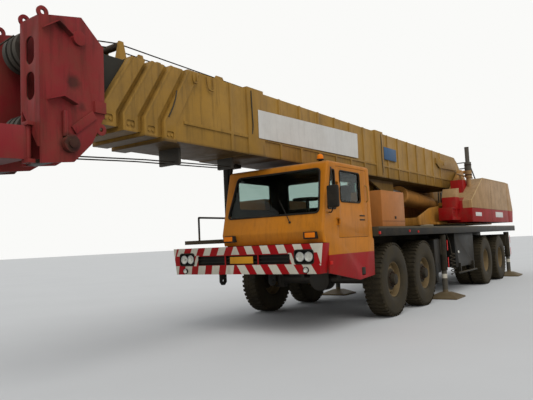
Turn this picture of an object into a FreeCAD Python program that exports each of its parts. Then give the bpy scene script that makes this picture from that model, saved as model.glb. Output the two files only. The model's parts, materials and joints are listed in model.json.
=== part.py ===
"""Four-axle mobile crane with a five-part box boom, in millimetres.

X points forward, Y to the vehicle's left, Z up. The ground is Z 0 and the X origin is the middle of
the machine's length. Lengths along X are written from the front axle, which the sheet places.
"""
import FreeCAD, Part
import Sketcher
import os
import re

# Every driving dimension. A name ending in _x is measured from the front axle, one ending in _y from
# the centre line and one ending in _z from the ground.
SIZES = {
    "front_axle_x": 1845, "second_axle_x": -1670, "third_axle_x": -6820, "fourth_axle_x": -8570,
    "fit": 0.3,
    # wheels
    "tyre_radius": 685, "tyre_width": 372, "tyre_bead_radius": 333.3, "tyre_tread_drop": 26,
    "tyre_shoulder": 46, "wheel_y": 1384, "twin_gap": 48, "rim_radius": 333, "rim_wall": 20,
    "rim_centre_radius": 170, "rim_plate": 22, "hub_radius": 118, "hub_length": 190,
    "hand_hole_radius": 34, "hand_hole_ring": 228, "hand_hole_count": 8,
    # axles and steering knuckles
    "axle_beam_radius": 88, "axle_pan_radius": 225, "axle_pan_width": 300, "kingpin_y": 1046,
    "kingpin_radius": 34, "yoke_width": 150, "yoke_thick": 46, "yoke_reach": 70, "yoke_gap": 6,
    "knuckle_height": 230, "knuckle_width": 120, "spindle_radius": 52, "spring_seat_y": 470,
    "spring_length": 1150, "spring_width": 90, "spring_height": 120,
    # chassis frame
    "frame_front_x": 2425.7, "frame_rear_x": -10700, "frame_half_width": 470, "frame_bottom_z": 946,
    "frame_top_z": 1659.7, "frame_wall": 16,
    # deck
    "deck_front_x": 700, "deck_rear_x": -10840, "deck_half_width": 1600, "deck_bottom_z": 1500,
    "deck_top_z": 1674, "deck_rim": 60, "deck_sheet": 14, "fore_deck_top_z": 1500, "fore_deck_sheet": 70,
    "fore_deck_front_x": 2360,
    # outriggers
    "front_outrigger_x": -3250, "rear_outrigger_x": -10040, "beam_width": 300, "beam_height": 360,
    "beam_bottom_z": 1010, "beam_wall": 14, "beam_pitch": 340, "beam_inner_y": 1180, "box_wall": 20,
    "beam_clear": 6, "beam_seat": 0.3, "box_half_width": 1400, "jack_y": 1500, "jack_tube_radius": 82,
    "jack_tube_bottom_z": 640, "jack_tube_top_z": 1470, "jack_rod_radius": 62, "jack_rod_top_z": 975,
    "float_half": 350, "float_height": 140, "float_rim": 40, "float_top_half": 110,
    # slew ring and slewing frame
    "slew_x": -7050, "slew_radius": 950, "slew_bore_radius": 780, "slew_top_z": 1760,
    "turn_base_front_x": -5150, "turn_base_rear_x": -11300, "turn_base_half_width": 739.7,
    "turn_base_thick": 60, "cheek_inner_y": 560, "cheek_thick": 36, "cheek_front_x": -4150,
    "cheek_nose_z": 2130, "cheek_knee_x": -6250, "cheek_knee_z": 2330, "cheek_slope_top_x": -8080,
    "cheek_slope_top_z": 3490, "cheek_rear_top_x": -8560, "cheek_rear_top_z": 3500,
    "cheek_rear_x": -8900, "cheek_rear_z": 3100, "cheek_back_x": -9350, "flange_outer_y": 700,
    "flange_thick": 30,
    # boom foot and lift cylinder
    "foot_x": -8340, "foot_z": 3290, "foot_pin_radius": 95, "foot_tube_radius": 170, "pin_gap": 0.3,
    "pin_cap": 30,
    "lift_foot_x": -7000, "lift_foot_z": 2380, "lift_eye_x": -3250, "lift_eye_z": 2660,
    "barrel_radius": 240, "barrel_wall": 40, "barrel_length": 2700, "gland_radius": 262, "gland_length": 130,
    "barrel_eye_radius": 170, "barrel_eye_width": 240, "barrel_neck": 300, "barrel_neck_radius": 115,
    "lift_pin_radius": 70, "rod_radius": 130,
    "rod_eye_radius": 150, "rod_eye_width": 299.4,
    "gusset_inner_y": 150, "gusset_thick": 40, "gusset_front_x": -1990, "gusset_low_x": -3250,
    "gusset_low_z": 2490, "gusset_rear_x": -3560, "gusset_rear_z": 2500,
    # boom sections: half width, bottom, top; each one slides inside the one before
    "boom_mid_z": 3398, "base_half_width": 500, "base_half_height": 524, "plate": 8, "nest": 26,
    "base_rear_x": -8000, "base_front_x": 4320, "knee_run": 490, "knee_z": 3115, "nose_bottom_z": 2850,
    "collar_pitch": 325, "collar_length": 232, "nest_step_x": 150, "inner_rear_x": -7750,
    "nose_half_width": 520, "nose_step": 10, "nose_top_z": 3905, "nose_drop": 16, "nose_rise": 26,
    "slide_fit": 0.4, "tip_x": 6110, "lip_width": 34, "lip_out": 9, "pocket_inset": 56, "pocket_length": 130,
    "pocket_rise": 40, "pocket_height": 100, "pocket_depth": 16, "pocket_round": 26, "bolt_radius": 20,
    "bolt_length": 17, "guide_half": 150, "guide_plate": 24, "guide_roller": 48, "band_out": 30,
    "base_guide_x": 3010, "base_guide_length": 440, "base_guide_height": 210, "guide_2_height": 150,
    "guide_3_height": 185, "guide_4_height": 300, "collar_guide_length": 208, "band_width": 440,
    "first_band_x": 2560, "second_band_x": -2270,
    "rib_thick": 20, "rib_width": 58, "rib_pitch": 660, "rib_first_x": 3360, "rib_rail_z": 3130,
    "rib_rail_height": 44, "foot_brace_front_x": -6090, "foot_brace_rear_x": -8010, "foot_brace_low_z": 3450,
    "foot_brace_top_z": 3780, "foot_brace_out": 40, "foot_boss_x": -6780, "foot_boss_z": 3620,
    "foot_boss_radius": 65, "foot_boss_out": 50,
    # boom head
    "head_half_width": 600, "head_plate": 22, "head_inner_y": 240, "head_front_x": 6600,
    "head_rear_x": 5800, "head_top_x": 6090, "head_top_z": 4060, "head_shoulder_z": 3790,
    "head_waist_z": 3000, "head_ear_x": 5850, "head_ear_z": 2830, "head_low_x": 5980, "head_low_z": 2650,
    "head_chin_x": 6210, "head_chin_z": 2430, "head_brow_z": 3940,
    "head_web_bottom_z": 3010, "eye_low_z": 3215, "eye_high_z": 3595, "eye_radius": 80, "eye_length": 140,
    "ear_radius": 66, "ear_bore_radius": 25, "ear_centre_x": 6556, "ear_centre_z": 3975, "head_skirt_z": 2560,
    "boss_radius": 82, "boss_rise": 40, "boss_x": 6140, "boss_z": 3800,
    "canopy_out": 75, "canopy_thick": 14, "canopy_front": 160, "canopy_rear": 170, "low_canopy_x": 6365,
    "low_canopy_z": 3120, "low_canopy_fall": 60, "high_canopy_x": 6410, "high_canopy_z": 3920,
    "high_canopy_fall": 110, "brace_rear_x": 5950, "brace_rear_z": 2980, "brace_front_x": 6220,
    "brace_front_z": 2770, "brace_shift_x": 28, "brace_shift_z": 36, "brace_out": 22, "motor_x": 6270,
    "motor_z": 2615, "motor_radius": 95, "motor_out": 65, "motor_hub_radius": 50, "riser_x": 6330,
    "riser_radius": 28, "riser_low_z": 2690, "riser_height": 270, "cheek_block_out": 30,
    "sheave_radius": 225, "sheave_width": 62, "sheave_pin_radius": 45, "sheave_x": 6372,
    "sheave_low_z": 2790, "sheave_high_z": 3720, "sheave_pitch": 100, "sheave_groove": 24,
    "stub_rear_x": 6640, "stub_front_x": 7560, "stub_bottom_z": 2440, "stub_top_z": 2790,
    "stub_rear_half": 420, "stub_front_half": 150, "stub_wall": 14, "lug_thick": 40, "lug_half": 60,
    "stub_sheave_radius": 190,
    "stub_sheave_x": 7620, "stub_pin_radius": 26,
    # bodywork on the slewing platform
    "tail_y": 1450, "tail_inner_y": 740, "tail_front_x": -6090, "tail_front_z": 2410,
    "tail_slope_x": -7460, "tail_slope_z": 3130, "tail_split_x": -10700, "tail_rear_x": -11500,
    "tail_top_z": 3180, "tail_rear_z": 2250, "tail_bottom_z": 1800, "side_box_front_x": -5330,
    "side_box_step_x": -5700, "side_box_y": 1120, "side_box_low_z": 2210,
    "side_box_top_z": 2510, "side_rail_top_z": 2760,
    "exhaust_x": -7000, "exhaust_y": 1180, "exhaust_radius": 62, "exhaust_top_z": 4060,
    "exhaust_bottom_z": 2860, "silencer_radius": 98, "silencer_z": 3140, "silencer_length": 460,
    "roof_rail_y": 800, "roof_rail_z": 3300, "roof_rail_radius": 28, "roof_rail_front_x": -7150,
    "roof_rail_rear_x": -8850, "upper_box_front_x": -6600, "upper_box_rear_x": -7440, "upper_box_y": 1090,
    "upper_box_low_z": 2660, "upper_box_top_z": 3060,
    "recess_edge": 40, "recess_depth": 22, "recess_round": 30, "slot_radius": 30,
    "drum_radius": 230, "drum_flange_radius": 340, "drum_flange": 24, "drum_half_width": 400,
    "main_drum_x": -9560, "main_drum_z": 2700, "aux_drum_x": -10270, "aux_drum_z": 2700,
    "drum_cheek_y": 430, "drum_cheek_thick": 30, "drum_cheek_top_z": 2950,
    # operator's cab, on the right of the boom
    "op_outer_y": 1500, "op_inner_y": 740, "op_front_x": -4100, "op_rear_x": -5700, "op_floor_z": 1900,
    "op_roof_z": 3420, "op_wall": 36, "op_brow_x": -4420, "op_knee_z": 2420, "op_door_front_x": -4620,
    "op_door_rear_x": -5420, "op_window_low_z": 2420, "op_window_top_z": 3280, "op_seat_width": 440,
    # driver's cab, on the left at the front
    "cab_left_y": 1530, "cab_right_y": -450, "cab_rear_x": 800, "cab_roof_z": 2720, "cab_floor_z": 1440,
    "cab_wall": 40, "cab_front_top_x": 2300, "cab_front_sill_x": 2525, "cab_sill_z": 1880,
    "cab_crease_x": 2590, "cab_crease_z": 1620, "cab_toe_x": 2540, "cab_roof_round": 70, "cab_side_round": 36,
    "screen_low_z": 1900, "screen_top_z": 2600, "screen_left_y": 1440, "screen_right_y": -350,
    "screen_round": 75, "window_round": 60, "quarter_round": 38,
    "door_front_x": 2070, "door_rear_x": 980, "door_low_z": 1500, "door_top_z": 2650, "door_gap": 6,
    "hinge_pin_radius": 10, "hinge_eye_radius": 18, "hinge_off": 24,
    "hinge_height": 80, "hinge_lug": 20, "hinge_low_z": 1720, "hinge_high_z": 2300, "hinge_leaf": 70,
    "door_window_rear_x": 1240, "door_window_front_x": 1960, "window_low_z": 2080, "window_top_z": 2580,
    "quarter_rear_x": 2130, "quarter_top_x": 2240, "quarter_low_x": 2400, "quarter_low_z": 1960,
    "glass": 10, "skirt_top_z": 1440, "skirt_low_z": 790, "skirt_front_z": 970, "skirt_rear_x": 790,
    "skirt_thick": 30, "skirt_low_x": 1410, "step_x": 1260, "step_z": 920,
    "step_size": 130, "seat_x": 1250, "seat_y": 950, "seat_size": 500, "seat_base": 300,
    "cushion": 120, "cushion_round": 45, "seat_back": 640, "steering_x": 2020, "steering_z": 2160,
    "wheel_hoop_radius": 230,
    "wheel_hoop_tube": 18, "column_radius": 28, "dash_depth": 260, "dash_top_z": 1900,
    # bumper and lamps
    "bumper_front_x": 2656, "bumper_depth": 230, "bumper_top_z": 1432, "bumper_low_z": 975,
    "bumper_half_width": 1545, "bumper_low_half_width": 1480, "grille_half_width": 960,
    "grille_low_z": 1130, "grille_top_z": 1285, "grille_depth": 60, "grille_pitch": 62,
    "grille_bar_height": 16, "grille_bar_depth": 40, "upright_y": 330, "upright_width": 26,
    "upright_depth": 58,
    "plate_half_width": 240, "plate_low_z": 1150, "plate_height": 112, "plate_round": 12,
    "lamp_box_inner_y": 1050,
    "lamp_box_width": 330, "lamp_box_height": 200, "lamp_z": 1235, "lamp_radius": 72, "lamp_first_y": 1140,
    "lamp_pitch": 155, "lamp_depth": 50, "lamp_box_depth": 44, "fog_radius": 48, "fog_z": 1035,
    "fog_y": 1250, "fog_length": 40, "tow_y": 515, "tow_length": 150, "tow_height": 190,
    "tow_thick": 40, "tow_bore_radius": 30, "turn_lamp_y": 1450,
    "turn_lamp_right_y": 160, "turn_lamp_width": 220, "turn_lamp_depth": 32, "rear_lamp_y": 1330,
    "rear_lamp_width": 300, "rear_lamp_height": 110, "rear_lamp_depth": 45, "beacon_x": 1620,
    "beacon_y": 1180, "beacon_radius": 60, "beacon_height": 130,
    # mirrors and rails
    "mirror_x": 2720, "mirror_y": 1640, "mirror_low_z": 2020, "mirror_height": 340, "mirror_width": 190,
    "mirror_depth": 50, "mirror_arm_radius": 14, "mirror_mount_z": 2620, "mirror_root_x": 2240,
    "rail_y": 1250, "rail_radius": 18,
    "rail_height": 420, "rail_front_x": 2280, "rail_rear_x": 1500,
    # boxes on the carrier
    "hood_front_x": 1180, "hood_rear_x": -380, "hood_outer_y": -1480, "hood_inner_y": -520,
    "hood_top_z": 2320, "cabinet_front_x": 360, "cabinet_rear_x": -750,
    "cabinet_top_z": 2350, "cabinet_outer_y": 1530, "cabinet_inner_y": 660, "tank_front_x": -4150,
    "tank_rear_x": -5850, "tank_outer_y": 1470, "tank_inner_y": 820, "tank_low_z": 640, "tank_strap": 70,
    "guard_front_x": -2510, "guard_step_x": -2715, "guard_low_z": 400, "guard_step_z": 610,
    "guard_top_z": 1370, "guard_inner_y": 1010,
    "guard_outer_y": 1490, "guard_round": 30, "side_bar_z": 500, "side_bar_y": 1510, "side_bar_radius": 24,
    "sheet_wall": 12, "engine_length": 900, "engine_width": 560, "engine_height": 500,
    "weight_wall": 150, "rest_x": 2200, "rest_y": 500, "rest_length": 330, "rest_thick": 60, "rest_gap": 8,
    "rest_post_width": 100,
}

doc = FreeCAD.newDocument("MobileCrane")
sheet = doc.addObject("Spreadsheet::Sheet", "Sizes")
for row, (alias, number) in enumerate(SIZES.items(), start=1):
    sheet.set("A%d" % row, alias)
    sheet.set("B%d" % row, str(number))
    sheet.setAlias("B%d" % row, alias)
doc.recompute()

NODES = []


def value_of(rule):
    """The number that a rule such as 'deck_top_z - deck_sheet * 2' stands for."""
    total = 0.0
    term = None
    sign = 1.0
    pending = None
    for word in rule.split():
        if word in ("+", "-"):
            if term is not None:
                total += sign * term
                sign = 1.0
                term = None
            if word == "-":
                sign = -sign
        elif word in ("*", "/"):
            pending = word
        else:
            number = SIZES[word] if word in SIZES else float(word)
            if pending == "*":
                number = term * number
            elif pending == "/":
                number = term / number
            term = number
            pending = None
    return total + sign * term


def in_sheet(rule):
    """The same rule as an expression on the sheet."""
    def refer(match):
        word = match.group(0)
        return "Sizes." + word if word in SIZES else word
    return re.sub(r"[A-Za-z_][A-Za-z_0-9]*", refer, rule)


def bind(thing, prop, rule):
    thing.setExpression(prop, in_sheet(rule))


def place(thing, x_rule, y_rule, z_rule):
    """Bind a thing's place; x is measured from the front axle."""
    bind(thing, "Placement.Base.x", "front_axle_x + " + x_rule)
    bind(thing, "Placement.Base.y", y_rule)
    bind(thing, "Placement.Base.z", z_rule)


def pin_point(sketch, line, point, along, rule):
    """Hold one sketch point at its distance from the sketch's origin, along X or Y."""
    if rule == "0":
        axis = -2 if along == "DistanceX" else -1
        sketch.addConstraint(Sketcher.Constraint("PointOnObject", line, point, axis))
        return
    number = sketch.addConstraint(Sketcher.Constraint(along, -1, 1, line, point, value_of(rule)))
    sketch.setExpression("Constraints[%d]" % number, in_sheet(rule))


def draw(sketch, outline):
    """Add one closed outline: a list of (x, y) rules, or ('circle', x, y, radius)."""
    if outline[0] == "circle":
        centre = FreeCAD.Vector(value_of(outline[1]), value_of(outline[2]), 0)
        ring = sketch.addGeometry(Part.Circle(centre, FreeCAD.Vector(0, 0, 1), value_of(outline[3])))
        number = sketch.addConstraint(Sketcher.Constraint("Radius", ring, value_of(outline[3])))
        sketch.setExpression("Constraints[%d]" % number, in_sheet(outline[3]))
        pin_point(sketch, ring, 3, "DistanceX", outline[1])
        pin_point(sketch, ring, 3, "DistanceY", outline[2])
        return
    corners = [FreeCAD.Vector(value_of(x), value_of(y), 0) for x, y in outline]
    count = len(corners)
    lines = [sketch.addGeometry(Part.LineSegment(corners[i], corners[(i + 1) % count])) for i in range(count)]
    for i in range(count):
        sketch.addConstraint(Sketcher.Constraint("Coincident", lines[i], 2, lines[(i + 1) % count], 1))
    for line, (x_rule, y_rule) in zip(lines, outline):
        pin_point(sketch, line, 1, "DistanceX", x_rule)
        pin_point(sketch, line, 1, "DistanceY", y_rule)


def sketched_body(name, plane, outlines):
    body = doc.addObject("PartDesign::Body", name)
    sketch = body.newObject("Sketcher::SketchObject", name + "_outline")
    support = [f for f in body.Origin.OriginFeatures if f.Role == plane + "_Plane"][0]
    sketch.AttachmentSupport = [(support, "")]
    sketch.MapMode = "FlatFace"
    for outline in outlines:
        draw(sketch, outline)
    return body, sketch


DEPTH_AXIS = {"YZ": 0, "XZ": 1, "XY": 2}


def round_edges(body, plane, radius, along=True, above=None):
    """Round the edges of a padded outline: those along its depth, or those round its two end faces.

    With the rule 'above', edges whose middle lies below that height stay sharp.
    """
    doc.recompute()
    solid = body.Tip
    depth = DEPTH_AXIS[plane]
    lowest = value_of(above) if above else solid.Shape.BoundBox.ZMin - 1
    chosen = []
    for number, edge in enumerate(solid.Shape.Edges, start=1):
        ends = [corner.Point[depth] for corner in edge.Vertexes]
        runs_along = len(ends) == 2 and abs(ends[0] - ends[1]) > 1
        if runs_along == along and edge.CenterOfMass.z > lowest:
            chosen.append("Edge%d" % number)
    rounding = body.newObject("PartDesign::Fillet", body.Name + ("_rounding" if along else "_side_rounding"))
    rounding.Base = (solid, chosen)
    bind(rounding, "Radius", radius)


def prism(name, plane, outlines, start, depth, radius=None):
    """A padded outline. XZ: from y=start towards -Y. XY: from z=start up. YZ: from x=start forward.

    With a radius, the outline's corners are rounded.
    """
    body, sketch = sketched_body(name, plane, outlines)
    pad = body.newObject("PartDesign::Pad", name + "_pad")
    pad.Profile = sketch
    bind(pad, "Length", depth)
    if radius:
        round_edges(body, plane, radius)
    if plane == "XZ":
        place(body, "0", start, "0")
    elif plane == "XY":
        place(body, "0", "0", start)
    else:
        place(body, start, "0", "0")
    return body


def turned(name, outlines, x_rule, y_rule, z_rule):
    """A profile of (distance along Y, radius) turned about a line along Y."""
    body, sketch = sketched_body(name, "YZ", outlines)
    spin = body.newObject("PartDesign::Revolution", name + "_turn")
    spin.Profile = sketch
    spin.ReferenceAxis = (sketch, ["H_Axis"])
    spin.Angle = 360
    place(body, x_rule, y_rule, z_rule)
    return body


def box(name, x_rule, y_rule, z_rule, length, width, height):
    thing = doc.addObject("Part::Box", name)
    bind(thing, "Length", length)
    bind(thing, "Width", width)
    bind(thing, "Height", height)
    place(thing, x_rule, y_rule, z_rule)
    return thing


AXES = {"X": FreeCAD.Vector(1, 0, 0), "Y": FreeCAD.Vector(0, 1, 0), "Z": FreeCAD.Vector(0, 0, 1)}


def bar(name, axis, radius, x_rule, y_rule, z_rule, length):
    """A round bar from the given place along +X, +Y or +Z."""
    thing = doc.addObject("Part::Cylinder", name)
    thing.Placement = FreeCAD.Placement(FreeCAD.Vector(), FreeCAD.Rotation(AXES["Z"], AXES[axis]))
    bind(thing, "Radius", radius)
    bind(thing, "Height", length)
    place(thing, x_rule, y_rule, z_rule)
    return thing


def dome(name, axis, radius, rise, x_rule, y_rule, z_rule):
    """Half an ellipsoid that stands on the given place and points along +X or +Z."""
    thing = doc.addObject("Part::Ellipsoid", name)
    thing.Placement = FreeCAD.Placement(FreeCAD.Vector(), FreeCAD.Rotation(AXES["Z"], AXES[axis]))
    bind(thing, "Radius1", rise)
    bind(thing, "Radius2", radius)
    bind(thing, "Radius3", radius)
    thing.Angle1 = 0
    place(thing, x_rule, y_rule, z_rule)
    return thing


def slot_across(name, radius, x_rule, y_rule, low_z, high_z, length):
    """A tall round-ended hole through a wall that faces forward, from the given x."""
    return fused(name, [bar(name + "_low", "X", radius, x_rule, y_rule, low_z, length),
                        bar(name + "_high", "X", radius, x_rule, y_rule, high_z, length),
                        box(name + "_middle", x_rule, y_rule + " - " + radius, low_z, length, radius + " * 2",
                            "%s - (%s)" % (high_z, low_z))])


def fused(name, parts):
    thing = doc.addObject("Part::MultiFuse", name)
    thing.Shapes = parts
    thing.Refine = True
    return thing


def cut(name, base, tools):
    thing = doc.addObject("Part::Cut", name)
    thing.Base = base
    thing.Tool = tools[0] if len(tools) == 1 else fused(name + "_tools", tools)
    return thing


def common(name, first, second):
    thing = doc.addObject("Part::Common", name)
    thing.Base = first
    thing.Tool = second
    return thing


def together(name, parts):
    """Several solids of one node that lie side by side."""
    thing = doc.addObject("Part::Compound", name)
    thing.Links = parts
    return thing


def node(name, thing):
    thing.Label = name
    NODES.append(thing)
    return thing


def span(low, high):
    """The length of a stretch between two places."""
    return "%s - ( %s )" % (high, low) if " " in low else "%s - %s" % (high, low)


SIDES = (("left", ""), ("right", "- "))


def make_chassis():
    """Box frame, with the tunnels that hold the outrigger beams, and the boom rest."""
    girder = prism("girder", "XZ", [[("frame_front_x", "frame_bottom_z + 260"),
                                     ("frame_front_x", "cab_floor_z - fit"),
                   ("deck_front_x - deck_rim - 10", "cab_floor_z - fit"),
                   ("deck_front_x - deck_rim - 10", "frame_top_z"),
                   ("frame_rear_x", "frame_top_z"), ("frame_rear_x", "frame_bottom_z"),
                   ("frame_front_x - 500", "frame_bottom_z")]],
                   "frame_half_width", "frame_half_width * 2")
    hollow = prism("girder_hollow", "XZ", [[("frame_front_x - frame_wall", "frame_bottom_z - 50"),
                   ("frame_front_x - frame_wall", "cab_floor_z - fit - frame_wall"),
                   ("deck_front_x - deck_rim - 10 - frame_wall", "cab_floor_z - fit - frame_wall"),
                   ("deck_front_x - deck_rim - 10 - frame_wall", "frame_top_z - frame_wall"),
                   ("frame_rear_x + frame_wall", "frame_top_z - frame_wall"),
                   ("frame_rear_x + frame_wall", "frame_bottom_z - 50")]],
                   "frame_half_width - frame_wall", "frame_half_width * 2 - frame_wall * 2")
    pieces = [cut("rails", girder, [hollow])]
    tunnels = []
    for end in ("front", "rear"):
        centre = end + "_outrigger_x"
        low = centre + " - beam_pitch / 2 - beam_width / 2 - beam_clear"
        tunnel_length = "beam_pitch + beam_width + beam_clear * 2"
        pieces.append(box(end + "_outrigger_box", low + " - box_wall", "- box_half_width",
                          "beam_bottom_z - beam_clear - box_wall", tunnel_length + " + box_wall * 2",
                          "box_half_width * 2", "beam_height + beam_clear * 2 + box_wall * 2"))
        for way in ("-", "+"):
            lane = centre + " %s beam_pitch / 2 - beam_width / 2 - beam_clear" % way
            tunnels.append(box(end + ("_low" if way == "-" else "_high") + "_lane", lane,
                               "- box_half_width - 50",
                               "beam_bottom_z - beam_seat", "beam_width + beam_clear * 2",
                               "box_half_width * 2 + 100", "beam_height + beam_seat * 2"))
    frame = cut("frame", fused("frame_solid", pieces), tunnels)
    return node("chassis_frame", frame)


def make_deck():
    """Deck over the wheels, with its rim, and the lower deck beside the driver's cab."""
    slab = box("deck_slab", "deck_rear_x", "- deck_half_width", "deck_bottom_z",
               span("deck_rear_x", "deck_front_x"),
               "deck_half_width * 2", "deck_top_z - deck_bottom_z")
    well = box("deck_well", "deck_rear_x + deck_rim", "- deck_half_width + deck_rim", "deck_bottom_z - 10",
               "deck_front_x - deck_rear_x - deck_rim * 2", "deck_half_width * 2 - deck_rim * 2",
               "deck_top_z - deck_sheet - deck_bottom_z + 10")
    fore = box("fore_deck", "deck_front_x - 5", "- bumper_half_width", "fore_deck_top_z",
               "fore_deck_front_x - deck_front_x + 5", "bumper_half_width - 480", "fore_deck_sheet")
    deck = fused("deck_all", [cut("deck_shell", slab, [well]), fore] + handrail() + boom_rest())
    return node("deck", deck)


def boom_rest():
    """Post beside the cab with a padded arm just under the lowered boom."""
    top = "boom_mid_z - base_half_height - rest_gap"
    return [box("rest_post", "rest_x", "- rest_y - rest_post_width", "fore_deck_top_z + 10",
                "rest_post_width",
                "rest_post_width", top + " - fore_deck_top_z - 10"),
            box("rest_pad", "rest_x - 30", "- rest_y - rest_post_width - 20", top + " - rest_thick",
                "rest_post_width + 60", "rest_length", "rest_thick"),
            prism("rest_brace", "YZ", [[("- rest_y - 5", top + " - rest_thick - 260"),
                                        ("- rest_y - 5", top + " - rest_thick + 5"),
                                        ("- rest_y + 70", top + " - rest_thick + 5")]],
                  "rest_x + 20", "rest_post_width - 40")]


def make_engine_hood():
    hood = box("hood_block", "hood_rear_x", "hood_outer_y", "deck_top_z", span("hood_rear_x", "hood_front_x"),
               "hood_inner_y - hood_outer_y", "hood_top_z - deck_top_z")
    hollow = box("hood_hollow", "hood_rear_x + sheet_wall", "hood_outer_y + sheet_wall", "deck_top_z - 5",
                 "hood_front_x - hood_rear_x - sheet_wall * 2",
                 "hood_inner_y - hood_outer_y - sheet_wall * 2",
                 "hood_top_z - sheet_wall - deck_top_z + 5")
    block = box("engine_block", "hood_rear_x + 120", "hood_outer_y / 2 + hood_inner_y / 2 - engine_width / 2",
                "deck_top_z", "engine_length", "engine_width", "engine_height")
    return node("engine_hood", together("hood_and_engine", [cut("hood", hood, [hollow]), block]))


def make_cabinets():
    """Tool cabinet behind the cab, fuel tanks and the guard boxes behind the second axle."""
    body = box("cabinet_body", "cabinet_rear_x", "cabinet_inner_y", "deck_top_z",
               span("cabinet_rear_x", "cabinet_front_x"), "cabinet_outer_y - cabinet_inner_y",
               "cabinet_top_z - deck_top_z")
    space = box("cabinet_hollow", "cabinet_rear_x + sheet_wall", "cabinet_inner_y + sheet_wall",
                "deck_top_z - 5",
                "cabinet_front_x - cabinet_rear_x - sheet_wall * 2",
                "cabinet_outer_y - cabinet_inner_y - sheet_wall * 2",
                "cabinet_top_z - sheet_wall - deck_top_z + 5")
    parts = [cut("cabinet_shell", body, [space])]
    for side, sign in SIDES:
        inner = "tank_inner_y" if side == "left" else "- tank_outer_y"
        shell = box(side + "_tank", "tank_rear_x", inner, "tank_low_z", span("tank_rear_x", "tank_front_x"),
                    "tank_outer_y - tank_inner_y", "deck_bottom_z - tank_low_z")
        hollow = box(side + "_tank_hollow", "tank_rear_x + sheet_wall", inner + " + sheet_wall",
                     "tank_low_z + sheet_wall", "tank_front_x - tank_rear_x - sheet_wall * 2",
                     "tank_outer_y - tank_inner_y - sheet_wall * 2", "deck_bottom_z - tank_low_z")
        pieces = [cut(side + "_tank_shell", shell, [hollow])]
        for number in (0, 1):
            pieces.append(box("%s_strap_%d" % (side, number),
                              "tank_rear_x + 300 + %d" % (1000 * number),
                              "frame_half_width + fit" if side == "left" else "- tank_inner_y - 10",
                              "frame_bottom_z + 100", "tank_strap",
                              "tank_inner_y + 10 - frame_half_width - fit", "tank_strap * 2"))
        pieces.append(bar(side + "_side_bar", "X", "side_bar_radius", "tank_rear_x", flip("side_bar_y", side),
                          "side_bar_z", "tank_front_x - tank_rear_x"))
        for number in (0, 1):
            pieces.append(box("%s_bar_post_%d" % (side, number), "tank_rear_x + 200 + 1200 * %d" % number,
                              "tank_outer_y - 40" if side == "left" else "- side_bar_y - 4",
                              "side_bar_z - 20",
                              "50", "side_bar_y - tank_outer_y + 44", "tank_low_z - side_bar_z + 120"))
        parts.append(fused(side + "_tank_hung", pieces))
        parts.append(guard_of(side))
    return node("cabinet", together("cabinet_and_tanks", parts))


def guard_of(side):
    """Closed guard box between the second axle's wheel and the front outrigger box."""
    start = "guard_outer_y" if side == "left" else "- guard_inner_y"
    rear = "front_outrigger_x + beam_pitch / 2 + beam_width / 2 + beam_clear + box_wall + fit"
    return prism(side + "_guard", "XZ", [[(rear, "guard_step_z"), ("guard_step_x", "guard_step_z"),
                                          ("guard_step_x", "guard_low_z"),
                                          ("guard_front_x - 90", "guard_low_z"),
                                          ("guard_front_x", "guard_low_z + 160"),
                                          ("guard_front_x", "guard_top_z"),
                                          (rear, "guard_top_z")]],
                 start, "guard_outer_y - guard_inner_y", "guard_round")


def make_slew_ring():
    ring = prism("ring_body", "XY", [("circle", "slew_x", "0", "slew_radius"),
                                     ("circle", "slew_x", "0", "slew_bore_radius")],
                 "deck_top_z", "slew_top_z - deck_top_z")
    return node("slew_ring", ring)


def make_axles():
    """Driven rear axles with hub ends and steered front axles with yokes, on their springs."""
    parts = []
    for label, axle in (("first", "0"), ("second", "second_axle_x")):
        beam_end = "kingpin_y - yoke_reach"
        beam = bar(label + "_beam", "Y", "axle_beam_radius", axle, "- kingpin_y + yoke_reach", "tyre_radius",
                   "kingpin_y * 2 - yoke_reach * 2")
        pieces = [beam, pan_of(label, axle)]
        for side, sign in SIDES:
            for end, level in (("top", "knuckle_height / 2 + yoke_gap"),
                               ("bottom", "- knuckle_height / 2 - yoke_gap - yoke_thick")):
                inner = beam_end + " - 60" if side == "left" else "- kingpin_y - yoke_reach"
                pieces.append(box("%s_%s_%s_yoke" % (label, side, end), axle + " - yoke_width / 2", inner,
                                  "tyre_radius + " + level, "yoke_width", "yoke_reach * 2 + 60",
                                  "yoke_thick"))
            back = beam_end + " - 60" if side == "left" else "- kingpin_y + yoke_reach"
            pieces.append(box("%s_%s_yoke_back" % (label, side), axle + " - yoke_width / 2", back,
                              "tyre_radius - knuckle_height / 2 - yoke_gap - yoke_thick", "yoke_width", "60",
                              "knuckle_height + yoke_gap * 2 + yoke_thick * 2"))
        bores = [bar("%s_%s_yoke_bore" % (label, side), "Z", "kingpin_radius + pin_gap", axle,
                     flip("kingpin_y", side), "tyre_radius - knuckle_height", "knuckle_height * 2")
                 for side, sign in SIDES]
        parts.append(cut(label + "_axle", fused(label + "_axle_solid", pieces + springs_of(label, axle)),
                         bores))
    for label, axle in (("third", "third_axle_x"), ("fourth", "fourth_axle_x")):
        beam = bar(label + "_beam", "Y", "axle_beam_radius", axle,
                   "- wheel_y + tyre_width / 2 - 30 + rim_plate * 2 + fit", "tyre_radius",
                   "wheel_y * 2 - tyre_width + 60 - rim_plate * 4 - fit * 2")
        parts.append(fused(label + "_axle", [beam, pan_of(label, axle)] + springs_of(label, axle)))
    return node("axles", together("axle_set", parts))


def pan_of(label, axle):
    """The round housing of an axle's final drive."""
    return bar(label + "_pan", "X", "axle_pan_radius", axle + " - axle_pan_width / 2", "0", "tyre_radius",
               "axle_pan_width")


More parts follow.
